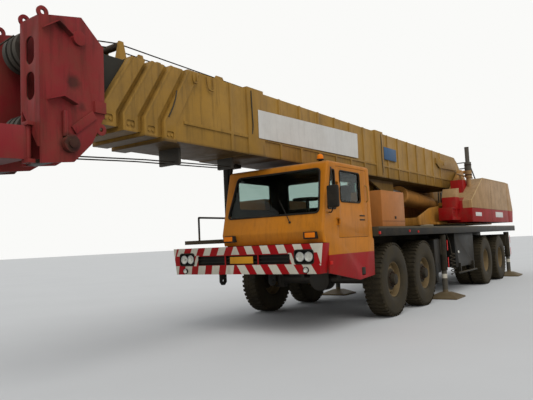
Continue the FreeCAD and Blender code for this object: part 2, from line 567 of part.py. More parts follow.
def springs_of(label, axle):
    parts = []
    for side, sign in SIDES:
        inner = "spring_seat_y - spring_width" if side == "left" else "- spring_seat_y"
        parts.append(box("%s_%s_spring" % (label, side), axle + " - spring_length / 2", inner,
                         "frame_bottom_z - spring_height - fit", "spring_length", "spring_width",
                         "spring_height"))
        parts.append(box("%s_%s_spring_seat" % (label, side), axle + " - 90", inner,
                         "tyre_radius", "180", "spring_width",
                         "frame_bottom_z - tyre_radius - spring_height / 2"))
    return parts


def tyre_profile(middle):
    """Half of a tyre's section in (distance along Y, radius), about the plane at the middle rule."""
    return [[(middle + " - tyre_width / 2", "tyre_radius - tyre_tread_drop - 40"),
             (middle + " - tyre_width / 2 + 12", "tyre_bead_radius + 60"),
             (middle + " - tyre_width / 2 + 40", "tyre_bead_radius"),
             (middle + " + tyre_width / 2 - 40", "tyre_bead_radius"),
             (middle + " + tyre_width / 2 - 12", "tyre_bead_radius + 60"),
             (middle + " + tyre_width / 2", "tyre_radius - tyre_tread_drop - 40"),
             (middle + " + tyre_width / 2 - tyre_shoulder", "tyre_radius"),
             (middle + " - tyre_width / 2 + tyre_shoulder", "tyre_radius")]]


def make_steered_wheels():
    """Knuckle, rim and tyre of each front wheel; the steering pin is the knuckle's own."""
    for axle_label, axle in (("front", "0"), ("second", "second_axle_x")):
        for side, sign in SIDES:
            name = "%s_%s" % (axle_label, side)
            tyre = turned(name + "_tyre_body", tyre_profile("0"), axle, sign + "wheel_y", "tyre_radius")
            node("tyre_" + name, tyre)
            node("rim_" + name, make_single_rim(name, axle, side))
            node("knuckle_" + name, make_knuckle(name, axle, side))


def flip(rule, side):
    """Mirror a rule that is one sum of terms, for the right-hand side."""
    if side == "left":
        return rule
    words = rule.split()
    if words[0] not in ("+", "-"):
        words = ["+"] + words
    swap = {"+": "-", "-": "+"}
    words = [swap.get(word, word) for word in words]
    if words[0] == "+":
        words = words[1:]
    return " ".join(words)


def flipped(outline, side):
    """Mirror an outline whose first coordinate is the distance across the vehicle."""
    return [(flip(a, side), b) for a, b in outline]


def make_single_rim(name, axle, side):
    """Rim band, dished disc with hand holes and the hub that stands out of it."""
    band = turned(name + "_band", [flipped([("- tyre_width / 2 + 46", "rim_radius"),
                                            ("tyre_width / 2 - 46", "rim_radius"),
                                            ("tyre_width / 2 - 46", "rim_radius - rim_wall"),
                                            ("- tyre_width / 2 + 46", "rim_radius - rim_wall")], side)],
                  axle, flip("wheel_y", side), "tyre_radius")
    disc = turned(name + "_disc", [flipped([("20", "0"), ("20", "rim_centre_radius"),
                                            ("0", "rim_radius - rim_wall / 2"),
                                            ("rim_plate", "rim_radius - rim_wall / 2"),
                                            ("20 + rim_plate", "rim_centre_radius"),
                                            ("20 + rim_plate", "hub_radius"),
                                            ("hub_length", "hub_radius - 20"),
                                            ("hub_length", "0")], side)],
                  axle, flip("wheel_y", side), "tyre_radius")
    return cut(name + "_rim_cut", fused(name + "_rim", [band, disc]), [hand_holes(name, axle, side)])


def hand_holes(name, axle, side):
    """Ring of holes through the disc, one bar patterned round the axle."""
    body, sketch = sketched_body(name + "_holes", "XZ", [("circle", "0", "hand_hole_ring",
                                                          "hand_hole_radius")])
    pad = body.newObject("PartDesign::Pad", name + "_hole")
    pad.Profile = sketch
    bind(pad, "Length", "tyre_width")
    pattern = body.newObject("PartDesign::PolarPattern", name + "_ring")
    pattern.Originals = [pad]
    pattern.Axis = ([f for f in body.Origin.OriginFeatures if f.Role == "Y_Axis"][0], [""])
    pattern.Angle = 360
    bind(pattern, "Occurrences", "hand_hole_count")
    body.Tip = pattern
    place(body, axle, "( " + flip("wheel_y", side) + " ) + tyre_width / 2", "tyre_radius")
    return body


def make_knuckle(name, axle, side):
    """Upright between the axle's yokes, its king pin and the spindle that the hub turns on."""
    upright = bar(name + "_upright", "Z", "knuckle_width / 2", axle, flip("kingpin_y", side),
                  "tyre_radius - knuckle_height / 2", "knuckle_height")
    pin = bar(name + "_kingpin", "Z", "kingpin_radius", axle, flip("kingpin_y", side),
              "tyre_radius - knuckle_height / 2 - yoke_gap - yoke_thick",
              "knuckle_height + yoke_gap * 2 + yoke_thick * 2")
    start = "kingpin_y" if side == "left" else "- wheel_y - 20 + fit"
    spindle = bar(name + "_spindle", "Y", "spindle_radius", axle, start, "tyre_radius",
                  "wheel_y - kingpin_y + 20 - fit")
    return fused(name + "_knuckle", [upright, pin, spindle])


def make_twin_wheels():
    for axle_label, axle in (("third", "third_axle_x"), ("fourth", "fourth_axle_x")):
        for side, sign in SIDES:
            name = "%s_%s" % (axle_label, side)
            pair = [turned(name + "_outer_tyre", tyre_profile("0"), axle, flip("wheel_y", side),
                           "tyre_radius"),
                    turned(name + "_inner_tyre", tyre_profile("0"), axle,
                           flip("wheel_y - tyre_width - twin_gap", side), "tyre_radius")]
            node("tyre_" + name, together(name + "_tyres", pair))
            band = turned(name + "_band", [flipped([
                ("tyre_width / 2 - 46", "rim_radius"), ("tyre_width / 2 - 46", "rim_radius - rim_wall"),
                ("- tyre_width / 2 + 90", "rim_radius - rim_wall"),
                ("- tyre_width / 2 + 30", "rim_centre_radius"),
                ("- tyre_width / 2 + 30", "0"), ("- tyre_width / 2 + 30 - rim_plate * 2", "0"),
                ("- tyre_width / 2 + 30 - rim_plate * 2", "rim_radius - rim_wall"),
                ("- tyre_width - tyre_width / 2 - twin_gap + 46", "rim_radius - rim_wall"),
                ("- tyre_width - tyre_width / 2 - twin_gap + 46", "rim_radius")], side)],
                axle, flip("wheel_y", side), "tyre_radius")
            hub = bar(name + "_hub", "Y", "hub_radius", axle,
                      "wheel_y - tyre_width / 2" if side == "left" else "- wheel_y - 30", "tyre_radius",
                      "tyre_width / 2 + 30")
            node("rim_" + name, fused(name + "_rims", [band, hub]))


def make_outriggers():
    """Sliding beams with the jack's outer tube at the end, and the rods with their floats."""
    for end in ("front", "rear"):
        for side, sign in SIDES:
            name = "%s_%s" % (end, side)
            way = "+" if side == "left" else "-"
            middle = "%s_outrigger_x %s beam_pitch / 2" % (end, way)
            start = "- beam_inner_y" if side == "left" else "- jack_y"
            skin = box(name + "_skin", middle + " - beam_width / 2", start, "beam_bottom_z", "beam_width",
                       "beam_inner_y + jack_y", "beam_height")
            core = box(name + "_core", middle + " - beam_width / 2 + beam_wall",
                       "- beam_inner_y - 1" if side == "left" else "- jack_y + 110",
                       "beam_bottom_z + beam_wall",
                       "beam_width - beam_wall * 2", "beam_inner_y + jack_y - 109",
                       "beam_height - beam_wall * 2")
            tube = bar(name + "_tube", "Z", "jack_tube_radius", middle, flip("jack_y", side),
                       "jack_tube_bottom_z",
                       "jack_tube_top_z - jack_tube_bottom_z")
            bore = bar(name + "_bore", "Z", "jack_rod_radius + pin_gap", middle, flip("jack_y", side),
                       "jack_tube_bottom_z - 1", "jack_tube_top_z - jack_tube_bottom_z - 30")
            hollow = cut(name + "_hollow", skin, [core])
            beam = cut(name + "_beam_cut", fused(name + "_beam_solid", [hollow, tube]), [bore])
            node("beam_" + name, beam)
            rod = bar(name + "_rod", "Z", "jack_rod_radius", middle, flip("jack_y", side),
                      "float_height - 20",
                      "jack_rod_top_z - float_height + 20")
            foot = float_of(name, middle, side)
            node("jack_" + name, fused(name + "_jack", [rod, foot]))


def float_of(name, middle, side):
    """Square pressed float: a flat rim under a low pyramid, as two stacked solids."""
    rim = box(name + "_float_rim", middle + " - float_half", flip("jack_y", side) + " - float_half", "0",
              "float_half * 2", "float_half * 2", "float_rim")
    body = doc.addObject("PartDesign::Body", name + "_float_top")
    sketches = []
    for level, half in (("float_rim", "float_half - 20"), ("float_height", "float_top_half")):
        sketch = body.newObject("Sketcher::SketchObject", "%s_float_%s" % (name, level))
        support = [f for f in body.Origin.OriginFeatures if f.Role == "XY_Plane"][0]
        sketch.AttachmentSupport = [(support, "")]
        sketch.MapMode = "FlatFace"
        bind(sketch, "AttachmentOffset.Base.z", level)
        draw(sketch, [("- " + half.replace(" - ", " + "), "- " + half.replace(" - ", " + ")),
                      (half, "- " + half.replace(" - ", " + ")), (half, half),
                      ("- " + half.replace(" - ", " + "), half)])
        sketches.append(sketch)
    loft = body.newObject("PartDesign::AdditiveLoft", name + "_float_loft")
    loft.Profile = sketches[0]
    loft.Sections = [sketches[1]]
    loft.Ruled = True
    place(body, middle, flip("jack_y", side), "0")
    return fused(name + "_float", [rim, body])


def make_slewing_frame():
    """Base plate, the two cheeks that carry the boom foot, their cross webs and the foot pins."""
    base = box("turn_base", "turn_base_rear_x", "- turn_base_half_width", "slew_top_z + fit",
               span("turn_base_rear_x", "turn_base_front_x"), "turn_base_half_width * 2",
               "turn_base_thick - fit")
    outline = [("cheek_front_x", "slew_top_z + fit"), ("cheek_front_x", "cheek_nose_z - 160"),
               ("cheek_front_x - 900", "cheek_nose_z + 90"), ("cheek_knee_x", "cheek_knee_z"),
               ("cheek_slope_top_x", "cheek_slope_top_z"), ("cheek_rear_top_x", "cheek_rear_top_z"),
               ("cheek_rear_x", "cheek_rear_z"), ("cheek_back_x", "slew_top_z + fit")]
    parts = [base]
    for side, sign in SIDES:
        start = "cheek_inner_y + cheek_thick" if side == "left" else "- cheek_inner_y"
        parts.append(prism(side + "_cheek", "XZ", [outline], start, "cheek_thick"))
    for side, sign in SIDES:
        start = "flange_outer_y" if side == "left" else "- cheek_inner_y"
        parts.append(prism(side + "_cheek_flange", "XZ", [[
            ("cheek_knee_x", "cheek_knee_z - 6"), ("cheek_slope_top_x", "cheek_slope_top_z - 6"),
            ("cheek_slope_top_x", "cheek_slope_top_z + flange_thick"),
            ("cheek_knee_x", "cheek_knee_z + flange_thick")]], start, "flange_outer_y - cheek_inner_y"))
    parts.append(box("rear_web", "cheek_back_x + 120", "- cheek_inner_y", "slew_top_z + turn_base_thick - 1",
                     "30",
                     "cheek_inner_y * 2", "760"))
    parts.append(box("front_web", "cheek_front_x - 60", "- cheek_inner_y", "slew_top_z + fit", "30",
                     "cheek_inner_y * 2", "190"))
    for side, sign in SIDES:
        parts.append(prism(side + "_lift_ear", "XZ",
                           [[("lift_foot_x - 260", "slew_top_z + 10"),
                             ("lift_foot_x + 260", "slew_top_z + 10"),
                             ("lift_foot_x + 130", "lift_foot_z + 130"),
                             ("lift_foot_x - 130", "lift_foot_z + 130")]],
                           "barrel_eye_width / 2 + 52" if side == "left" else "- barrel_eye_width / 2 - 12",
                           "40"))
    parts.append(bar("foot_pin", "Y", "foot_pin_radius", "foot_x", "- cheek_inner_y - cheek_thick - pin_cap",
                     "foot_z", "cheek_inner_y * 2 + cheek_thick * 2 + pin_cap * 2"))
    parts.append(bar("lift_foot_pin", "Y", "lift_pin_radius", "lift_foot_x", "- barrel_eye_width / 2 - 60",
                     "lift_foot_z", "barrel_eye_width + 120"))
    return node("slewing_frame", fused("slewing_frame_solid", parts))


def make_tail():
    """Left and right machinery housings with the slanted front, and the weight behind them."""
    housing = [("tail_front_x", "tail_bottom_z"), ("tail_front_x", "tail_front_z"),
               ("tail_slope_x", "tail_slope_z"), ("tail_split_x", "tail_top_z"),
               ("tail_split_x", "tail_bottom_z")]
    space = [("tail_front_x - sheet_wall", "tail_bottom_z + sheet_wall"),
             ("tail_front_x - sheet_wall", "tail_front_z - sheet_wall / 2"),
             ("tail_slope_x - sheet_wall / 2", "tail_slope_z - sheet_wall"),
             ("tail_split_x - 50", "tail_top_z - sheet_wall"),
             ("tail_split_x - 50", "tail_bottom_z + sheet_wall")]
    side_box = [("side_box_front_x", "tail_bottom_z + 60"), ("side_box_front_x", "side_box_low_z"),
                ("side_box_step_x", "side_box_low_z"), ("side_box_step_x", "side_box_top_z"),
                ("side_box_step_x - 150", "side_rail_top_z"), ("tail_front_x", "side_rail_top_z + 20"),
                ("tail_front_x", "tail_bottom_z + 60")]
    housings = []
    for side, sign in SIDES:
        start = "tail_y" if side == "left" else "- tail_inner_y"
        outer = prism(side + "_housing", "XZ", [housing], start, "tail_y - tail_inner_y")
        hollow = prism(side + "_housing_hollow", "XZ", [space],
                       "tail_y - sheet_wall" if side == "left" else "- tail_inner_y - sheet_wall",
                       "tail_y - tail_inner_y - sheet_wall * 2")
        shell = cut(side + "_housing_shell", outer, [hollow])
        parts = [shell]
        if side == "left":
            parts.append(cut("side_box_cut", prism("side_box", "XZ", [side_box], "side_box_y",
                                                   "side_box_y - tail_inner_y"), side_box_recesses()))
        housings.append(fused(side + "_housing_solid", parts) if len(parts) > 1 else shell)
    pipe = fused("exhaust", [bar("pipe", "Z", "exhaust_radius", "exhaust_x", "exhaust_y", "exhaust_bottom_z",
                                 "exhaust_top_z - exhaust_bottom_z"),
                             bar("silencer", "Z", "silencer_radius", "exhaust_x", "exhaust_y", "silencer_z",
                                 "silencer_length")])
    motor = box("platform_engine", "tail_slope_x - engine_length", "tail_inner_y + 70",
                "tail_bottom_z + sheet_wall - 1", "engine_length", "engine_width", "engine_height")
    node("housing", together("housings", [
        fused("left_housing_and_pipe", [housings[0], pipe, motor, upper_box()] + roof_rail()), housings[1]]))
    weight = prism("weight_body", "XZ", [[("tail_split_x", "tail_bottom_z"), ("tail_split_x", "tail_top_z"),
                                          ("tail_rear_x + 430", "tail_top_z"), ("tail_rear_x", "tail_rear_z"),
                                          ("tail_rear_x + 120", "tail_bottom_z")]],
                   "tail_y", "tail_y * 2")
    slot = box("weight_slot", "turn_base_rear_x - fit", "- turn_base_half_width - fit", "tail_bottom_z - 1",
               "tail_split_x - turn_base_rear_x + 10", "turn_base_half_width * 2 + fit * 2",
               "slew_top_z + turn_base_thick + 1 - tail_bottom_z")
    hollow = prism("weight_hollow", "XZ", [[("tail_split_x - weight_wall", "tail_bottom_z - 10"),
                                            ("tail_split_x - weight_wall", "tail_top_z - weight_wall"),
                                            ("tail_rear_x + 430 + weight_wall / 2",
                                             "tail_top_z - weight_wall"),
                                            ("tail_rear_x + weight_wall", "tail_rear_z"),
                                            ("tail_rear_x + 120 + weight_wall", "tail_bottom_z - 10")]],
                   "tail_y - weight_wall", "tail_y * 2 - weight_wall * 2")
    return node("counterweight", cut("weight", weight, [slot, hollow]))


def upper_box():
    """Raised cover on the left housing's slope, beside the boom's foot."""
    block = box("upper_box_block", "upper_box_rear_x", "tail_inner_y + 5", "upper_box_low_z",
                span("upper_box_rear_x", "upper_box_front_x"), "upper_box_y - tail_inner_y - 5",
                "upper_box_top_z - upper_box_low_z")
    space = box("upper_box_space", "upper_box_rear_x - 5", "tail_inner_y + 5 + sheet_wall",
                "upper_box_low_z - 5",
                "upper_box_front_x - upper_box_rear_x + 5 - sheet_wall",
                "upper_box_y - tail_inner_y - 5 - sheet_wall * 2",
                "upper_box_top_z - upper_box_low_z + 5 - sheet_wall")
    return cut("upper_box", block, [space])


def roof_rail():
    """Low rail along the left housing's roof, on two posts."""
    parts = [bar("roof_rail", "X", "roof_rail_radius", "roof_rail_rear_x", "roof_rail_y", "roof_rail_z",
                 "roof_rail_front_x - roof_rail_rear_x")]
    for number in (0, 1):
        parts.append(bar("roof_rail_post_%d" % number, "Z", "roof_rail_radius - 6",
                         "roof_rail_front_x - 350 - 1000 * %d" % number, "roof_rail_y", "tail_slope_z - 6",
                         "roof_rail_z - tail_slope_z + 6"))
    return parts


def side_box_recesses():
    """Shallow door recesses in the side box, each with a tall round-ended slot."""
    cuts = []
    for number, (rear, front, low, high) in enumerate((
            ("side_box_step_x + recess_edge", "side_box_front_x - recess_edge", "tail_bottom_z + 120",
             "side_box_low_z - recess_edge"),
            ("tail_front_x + recess_edge", "side_box_step_x - recess_edge", "tail_bottom_z + 120",
             "side_box_low_z - recess_edge"))):
        cuts.append(prism("recess_%d" % number, "XZ", [[(rear, low), (front, low), (front, high),
                                                        (rear, high)]],
                          "side_box_y + 5", "recess_depth + 5", "recess_round"))
        for end, level in (("low", high + " - 190"), ("high", high + " - 110")):
            cuts.append(bar("recess_%d_%s_slot" % (number, end), "Y", "slot_radius", rear + " + 90",
                            "side_box_y - recess_depth - 40", level, "60"))
        cuts.append(box("recess_%d_slot" % number, rear + " + 90 - slot_radius",
                        "side_box_y - recess_depth - 40",
                        high + " - 190", "slot_radius * 2", "60", "80"))
    return cuts


def make_winches():
    """Main and auxiliary drums between their own cheeks, on the base plate."""
    parts = []
    for label in ("main", "aux"):
        centre = label + "_drum_x"
        level = label + "_drum_z"
        pieces = [bar(label + "_drum", "Y", "drum_radius", centre, "- drum_cheek_y", level,
                      "drum_cheek_y * 2")]
        for side, sign in SIDES:
            flange = "drum_half_width - drum_flange" if side == "left" else "- drum_half_width"
            pieces.append(bar("%s_%s_flange" % (label, side), "Y", "drum_flange_radius", centre, flange,
                              level,
                              "drum_flange"))
            cheek = "drum_cheek_y" if side == "left" else "- drum_cheek_y - drum_cheek_thick"
            pieces.append(box("%s_%s_drum_cheek" % (label, side), centre + " - 200", cheek,
                              "slew_top_z + turn_base_thick", "400", "drum_cheek_thick",
                              "drum_cheek_top_z - slew_top_z - turn_base_thick"))
        parts.append(fused(label + "_winch", pieces))
    return node("winches", together("winch_pair", parts))


def make_operator_cab():
    """Hollow cab on the right, with cut windows, and its hinged outer door."""
    outline = [("op_front_x", "op_floor_z"), ("op_front_x", "op_knee_z"), ("op_brow_x", "op_roof_z"),
               ("op_rear_x", "op_roof_z"), ("op_rear_x", "op_floor_z")]
    inside = [("op_front_x - op_wall", "op_floor_z + op_wall"), ("op_front_x - op_wall", "op_knee_z"),
              ("op_brow_x - op_wall", "op_roof_z - op_wall"), ("op_rear_x + op_wall", "op_roof_z - op_wall"),
              ("op_rear_x + op_wall", "op_floor_z + op_wall")]
    shell = cut("op_hollow", prism("op_outer", "XZ", [outline], "- op_inner_y", "op_outer_y - op_inner_y"),
                [prism("op_inside", "XZ", [inside], "- op_inner_y - op_wall",
                       "op_outer_y - op_inner_y - op_wall * 2")])
    openings = op_openings("op_cut")
    door_hole = box("op_door_hole", "op_door_rear_x", "- op_outer_y - 10", "op_floor_z + op_wall",
                    "op_door_front_x - op_door_rear_x", "op_wall + 20",
                    "op_roof_z - op_floor_z - op_wall * 3")
    bracket = box("op_bracket", "op_rear_x + 200", "- op_outer_y + 100", "slew_top_z + fit",
                  "turn_base_front_x - op_rear_x - 200", "op_outer_y - 100 - turn_base_half_width",
                  "op_floor_z - slew_top_z - fit")
    seat = fused("op_seat", [box("op_seat_post", "op_rear_x + 420", "- op_outer_y + 280",
                                 "op_floor_z + op_wall",
                                 "200", "200", "360"),
                             cushion_of("op_seat_pad", "XZ", "- op_outer_y + 380", "op_seat_width", [
                                 ("op_rear_x + 260", "op_floor_z + op_wall + 350"),
                                 ("op_rear_x + 740", "op_floor_z + op_wall + 350"),
                                 ("op_rear_x + 740", "op_floor_z + op_wall + 470"),
                                 ("op_rear_x + 260", "op_floor_z + op_wall + 470")]),
                             cushion_of("op_seat_back", "XZ", "- op_outer_y + 380", "op_seat_width", [
                                 ("op_rear_x + 230", "op_floor_z + op_wall + 370"),
                                 ("op_rear_x + 350", "op_floor_z + op_wall + 370"),
                                 ("op_rear_x + 290", "op_floor_z + op_wall + 1040"),
                                 ("op_rear_x + 180", "op_floor_z + op_wall + 1040")])])
    hinges = []
    leaves = []
    bores = []
    for end, level in HINGE_LEVELS:
        hinges += hinge_frame("op_hinge_" + end, "-", "op_door_rear_x", "right", level + " + 420")
        leaves += hinge_leaf("op_hinge_" + end, "+", "op_door_rear_x", "right", level + " + 420")
        bores.append(hinge_bore("op_hinge_" + end, "op_door_rear_x", "right", level + " + 420"))
    cab = fused("op_all", [cut("op_cut_shell", shell, openings + [door_hole]), bracket, seat] + hinges)
    node("operator_cab", cab)
    panes = []
    for number, opening in enumerate(op_openings("op_glass")):
        panes.append(common("op_pane_%d" % number, opening, glass_sheet_of_op("op_sheet_%d" % number,
                                                                              number)))
    node("operator_glass", together("op_panes", panes))
    door = box("op_door_slab", "op_door_rear_x + door_gap", "- op_outer_y", "op_floor_z + op_wall + door_gap",
               "op_door_front_x - op_door_rear_x - door_gap * 2", "op_wall",
               "op_roof_z - op_floor_z - op_wall * 3 - door_gap * 2")
    hole = op_door_window("op_door_window", "- op_outer_y + op_wall + 10", "op_wall + 20")
    node("operator_door", cut("op_door", fused("op_door_leaves", [door] + leaves), bores + [hole]))
    return node("operator_door_glass",
                op_door_window("op_door_pane", "- op_outer_y + op_wall / 2 + glass / 2", "glass"))


def op_door_window(name, start, thick):
    return prism(name, "XZ", [[("op_door_rear_x + 90", "op_window_low_z"),
                               ("op_door_front_x - 90", "op_window_low_z"),
                               ("op_door_front_x - 90", "op_window_top_z - 60"),
                               ("op_door_rear_x + 90", "op_window_top_z - 60")]], start, thick,
                               "window_round")


def op_openings(label):
    """Front, inner side and rear windows as cutting blocks."""
    front = prism(label + "_front", "YZ", [[("- op_outer_y + 90", "op_knee_z + 40"),
                                            ("- op_inner_y - 90", "op_knee_z + 40"),
                                            ("- op_inner_y - 90", "op_roof_z - 120"),
                                            ("- op_outer_y + 90", "op_roof_z - 120")]],
                  "op_brow_x - 140", "600", "window_round")
    side = prism(label + "_side", "XZ", [[("op_rear_x + 200", "op_window_low_z"),
                                          ("op_brow_x - 120", "op_window_low_z"),
                                          ("op_brow_x - 120", "op_window_top_z"),
                                          ("op_rear_x + 200", "op_window_top_z")]],
                 "- op_inner_y + 5", "op_wall + 10", "window_round")
    rear = prism(label + "_rear", "YZ", [[("- op_outer_y + 110", "op_window_low_z + 200"),
                                          ("- op_inner_y - 110", "op_window_low_z + 200"),
                                          ("- op_inner_y - 110", "op_window_top_z"),
                                          ("- op_outer_y + 110", "op_window_top_z")]],
                 "op_rear_x - 5", "op_wall + 10", "window_round")
    return [front, side, rear]


def glass_sheet_of_op(label, number):
    """A thin sheet in the middle of the wall that a window lies in."""
    if number == 0:
        return prism(label, "XZ", [[("op_front_x - op_wall / 2 + glass / 2", "op_knee_z"),
                                    ("op_brow_x - op_wall / 2 + glass / 2", "op_roof_z"),
                                    ("op_brow_x - op_wall / 2 - glass / 2", "op_roof_z"),
                                    ("op_front_x - op_wall / 2 - glass / 2", "op_knee_z")]],
                     "- op_inner_y", "op_outer_y - op_inner_y")
    if number == 1:
        return box(label, "op_rear_x", "- op_inner_y - op_wall / 2 - glass / 2", "op_floor_z",
                   "op_front_x - op_rear_x", "glass", "op_roof_z - op_floor_z")
    return box(label, "op_rear_x + op_wall / 2 - glass / 2", "- op_outer_y", "op_floor_z", "glass",
               "op_outer_y - op_inner_y", "op_roof_z - op_floor_z")


def section_tube(name, level, rear, front):
    """Hollow box section number 'level', from rear to front."""
    drop = "nest * %d" % level
    outer = [("- base_half_width + " + drop, "boom_mid_z - base_half_height + " + drop),
             ("base_half_width - " + drop, "boom_mid_z - base_half_height + " + drop),
             ("base_half_width - " + drop, "boom_mid_z + base_half_height - " + drop),
             ("- base_half_width + " + drop, "boom_mid_z + base_half_height - " + drop)]
    inner = [("- base_half_width + plate + " + drop, "boom_mid_z - base_half_height + plate + " + drop),
             ("base_half_width - plate - " + drop, "boom_mid_z - base_half_height + plate + " + drop),
             ("base_half_width - plate - " + drop, "boom_mid_z + base_half_height - plate - " + drop),
             ("- base_half_width + plate + " + drop, "boom_mid_z + base_half_height - plate - " + drop)]
    return prism(name, "YZ", [outer, inner], rear, front + " - ( " + rear + " )")


def nose_of(name, level):
    """The slanted collar at a section's front, bored for the next section to slide through."""
    shift = "collar_pitch * %d" % level
    drop = "nose_drop * %d" % level
    rise = "nose_rise * %d" % level
    top = "nose_top_z - " + drop
    low = "nose_bottom_z + " + rise
    outline = [("base_front_x + " + shift, top), ("base_front_x + knee_run + " + shift, "knee_z"),
               ("base_front_x + knee_run + " + shift, low),
               ("base_front_x + knee_run - collar_length + " + shift, low),
               ("base_front_x + knee_run - collar_length + " + shift, "knee_z"),
               ("base_front_x - collar_length + " + shift, top)]
    half = "nose_half_width - nose_step * %d" % level
    whole_half = "nose_half_width + lip_out - nose_step * %d" % level
    lip = [("base_front_x + " + shift, top), ("base_front_x + knee_run + " + shift, "knee_z"),
           ("base_front_x + knee_run + " + shift, low), ("base_front_x + knee_run - lip_width + " + shift,
                                                         low),
           ("base_front_x + knee_run - lip_width + " + shift, "knee_z"),
           ("base_front_x - lip_width + " + shift, top)]
    block = fused(name + "_nose_solid", [
        prism(name + "_nose_block", "XZ", [outline], half, "( " + half + " ) * 2"),
        prism(name + "_nose_lip", "XZ", [lip], whole_half, "( " + whole_half + " ) * 2")])
    pockets = []
    bolts = []
    corner = "base_front_x + knee_run - pocket_inset + " + shift
    for side, sign in SIDES:
        start = half + " + 5" if side == "left" else "- " + flip(half, "right")[2:] + " + pocket_depth"
        pockets.append(prism("%s_%s_pocket" % (name, side), "XZ", [[
            (corner + " - pocket_length", low + " + pocket_rise"), (corner, low + " + pocket_rise"),
            (corner, low + " + pocket_rise + pocket_height"),
            (corner + " - pocket_length", low + " + pocket_rise + pocket_height")]],
            start, "pocket_depth + 5", "pocket_round"))
        for number in (0, 1):
            bolts.append(bar("%s_%s_bolt_%d" % (name, side, number), "Y", "bolt_radius",
                             corner + " - pocket_length / 4 - pocket_length / 2 * %d" % number,
                             flip(half + " - pocket_depth - 5",
                                  side) + ("" if side == "left" else " - bolt_length"),
                             low + " + pocket_rise + pocket_height / 2", "bolt_length"))
    inset = "nest * %d - slide_fit" % (level + 1)
    far = "nest * %d + slide_fit" % (level + 1)
    bore = prism(name + "_nose_bore", "YZ",
                 [[("- base_half_width + " + inset, "boom_mid_z - base_half_height + " + inset),
                   ("base_half_width - " + far, "boom_mid_z - base_half_height + " + inset),
                   ("base_half_width - " + far, "boom_mid_z + base_half_height - " + far),
                   ("- base_half_width + " + inset, "boom_mid_z + base_half_height - " + far)]],
                 "base_front_x - 1500", "4500")
    return fused(name + "_nose", [cut(name + "_nose_cut", block, [bore] + pockets)] + bolts)


def boom_trim(name, level):
    """Cuts a section's front end along its collar's slant."""
    shift = "collar_pitch * %d" % level
    return prism(name + "_trim", "XZ", [[("base_front_x + " + shift + " - 20", "boom_mid_z + 700"),
                                         ("base_front_x + " + shift + " - 20", "nose_top_z"),
                                         ("base_front_x + knee_run + " + shift + " - 20", "knee_z"),
                                         ("base_front_x + knee_run + " + shift + " - 20", "boom_mid_z - 700"),
                                         ("base_front_x + 3000", "boom_mid_z - 700"),
                                         ("base_front_x + 3000", "boom_mid_z + 700")]], "700", "1400")


def make_boom():
    """Base section with ribs, foot and lift bracket, three collared sections and the inner one."""
    tube = cut("base_tube", section_tube("base_box", 0, "base_rear_x", "base_front_x + knee_run"),
               [boom_trim("base", 0)])
    parts = [tube, nose_of("base", 0)] + boom_foot() + foot_braces() + boom_ribs() + boom_bands()
    parts += lift_bracket()
    parts += rope_guide("base_guide", "base_guide_x", "boom_mid_z + base_half_height", "base_guide_length",
                        "base_guide_height")
    node("boom_base", cut("base_bored", fused("base_solid", parts),
                          [bar("foot_bore", "Y", "foot_pin_radius + pin_gap", "foot_x", "- 700", "foot_z",
                               "1400")]))
    for level in (1, 2, 3):
        name = "section_%d" % (level + 1)
        rear = "inner_rear_x + nest_step_x * %d" % (level - 1)
        front = "base_front_x + knee_run + collar_pitch * %d" % level
        tube = cut(name + "_tube", section_tube(name + "_box", level, rear, front), [boom_trim(name, level)])
        guide = rope_guide(name + "_guide", "base_front_x - collar_length + 12 + collar_pitch * %d" % level,
                           "nose_top_z - nose_drop * %d" % level, "collar_guide_length",
                           "guide_%d_height" % (level + 1))
        node(name, fused(name + "_solid", [tube, nose_of(name, level)] + guide))
    node("section_5", section_tube("section_5_box", 4, "inner_rear_x + nest_step_x * 3", "tip_x"))


def rope_guide(name, rear_x, foot_z, length, height):
    """Two upright plates with a roller between them, standing on a section's top."""
    parts = [bar(name + "_roller", "Y", "guide_roller", rear_x + " + %s / 2" % length, "- guide_half",
                 foot_z + " + %s - guide_roller" % height, "guide_half * 2")]
    for side, sign in SIDES:
        start = "guide_half + guide_plate" if side == "left" else "- guide_half"
        parts.append(prism("%s_%s_plate" % (name, side), "XZ", [[
            (rear_x, foot_z + " - 6"), (rear_x + " + " + length, foot_z + " - 6"),
            (rear_x + " + %s * 2 / 3" % length, foot_z + " + " + height),
            (rear_x + " + %s / 3" % length, foot_z + " + " + height)]], start, "guide_plate"))
    return parts


def boom_bands():
    """Two wide bands wrapped round the base section."""
    outer = [("- base_half_width - band_out", "boom_mid_z - base_half_height - 8"),
             ("base_half_width + band_out", "boom_mid_z - base_half_height - 8"),
             ("base_half_width + band_out", "boom_mid_z + base_half_height + band_out"),
             ("- base_half_width - band_out", "boom_mid_z + base_half_height + band_out")]
    inner = [("- base_half_width + 2", "boom_mid_z - base_half_height + 2"),
             ("base_half_width - 2", "boom_mid_z - base_half_height + 2"),
             ("base_half_width - 2", "boom_mid_z + base_half_height - 2"),
             ("- base_half_width + 2", "boom_mid_z + base_half_height - 2")]
    return [prism("first_band", "YZ", [outer, inner], "first_band_x", "band_width"),
            prism("second_band", "YZ", [outer, inner], "second_band_x", "band_width")]


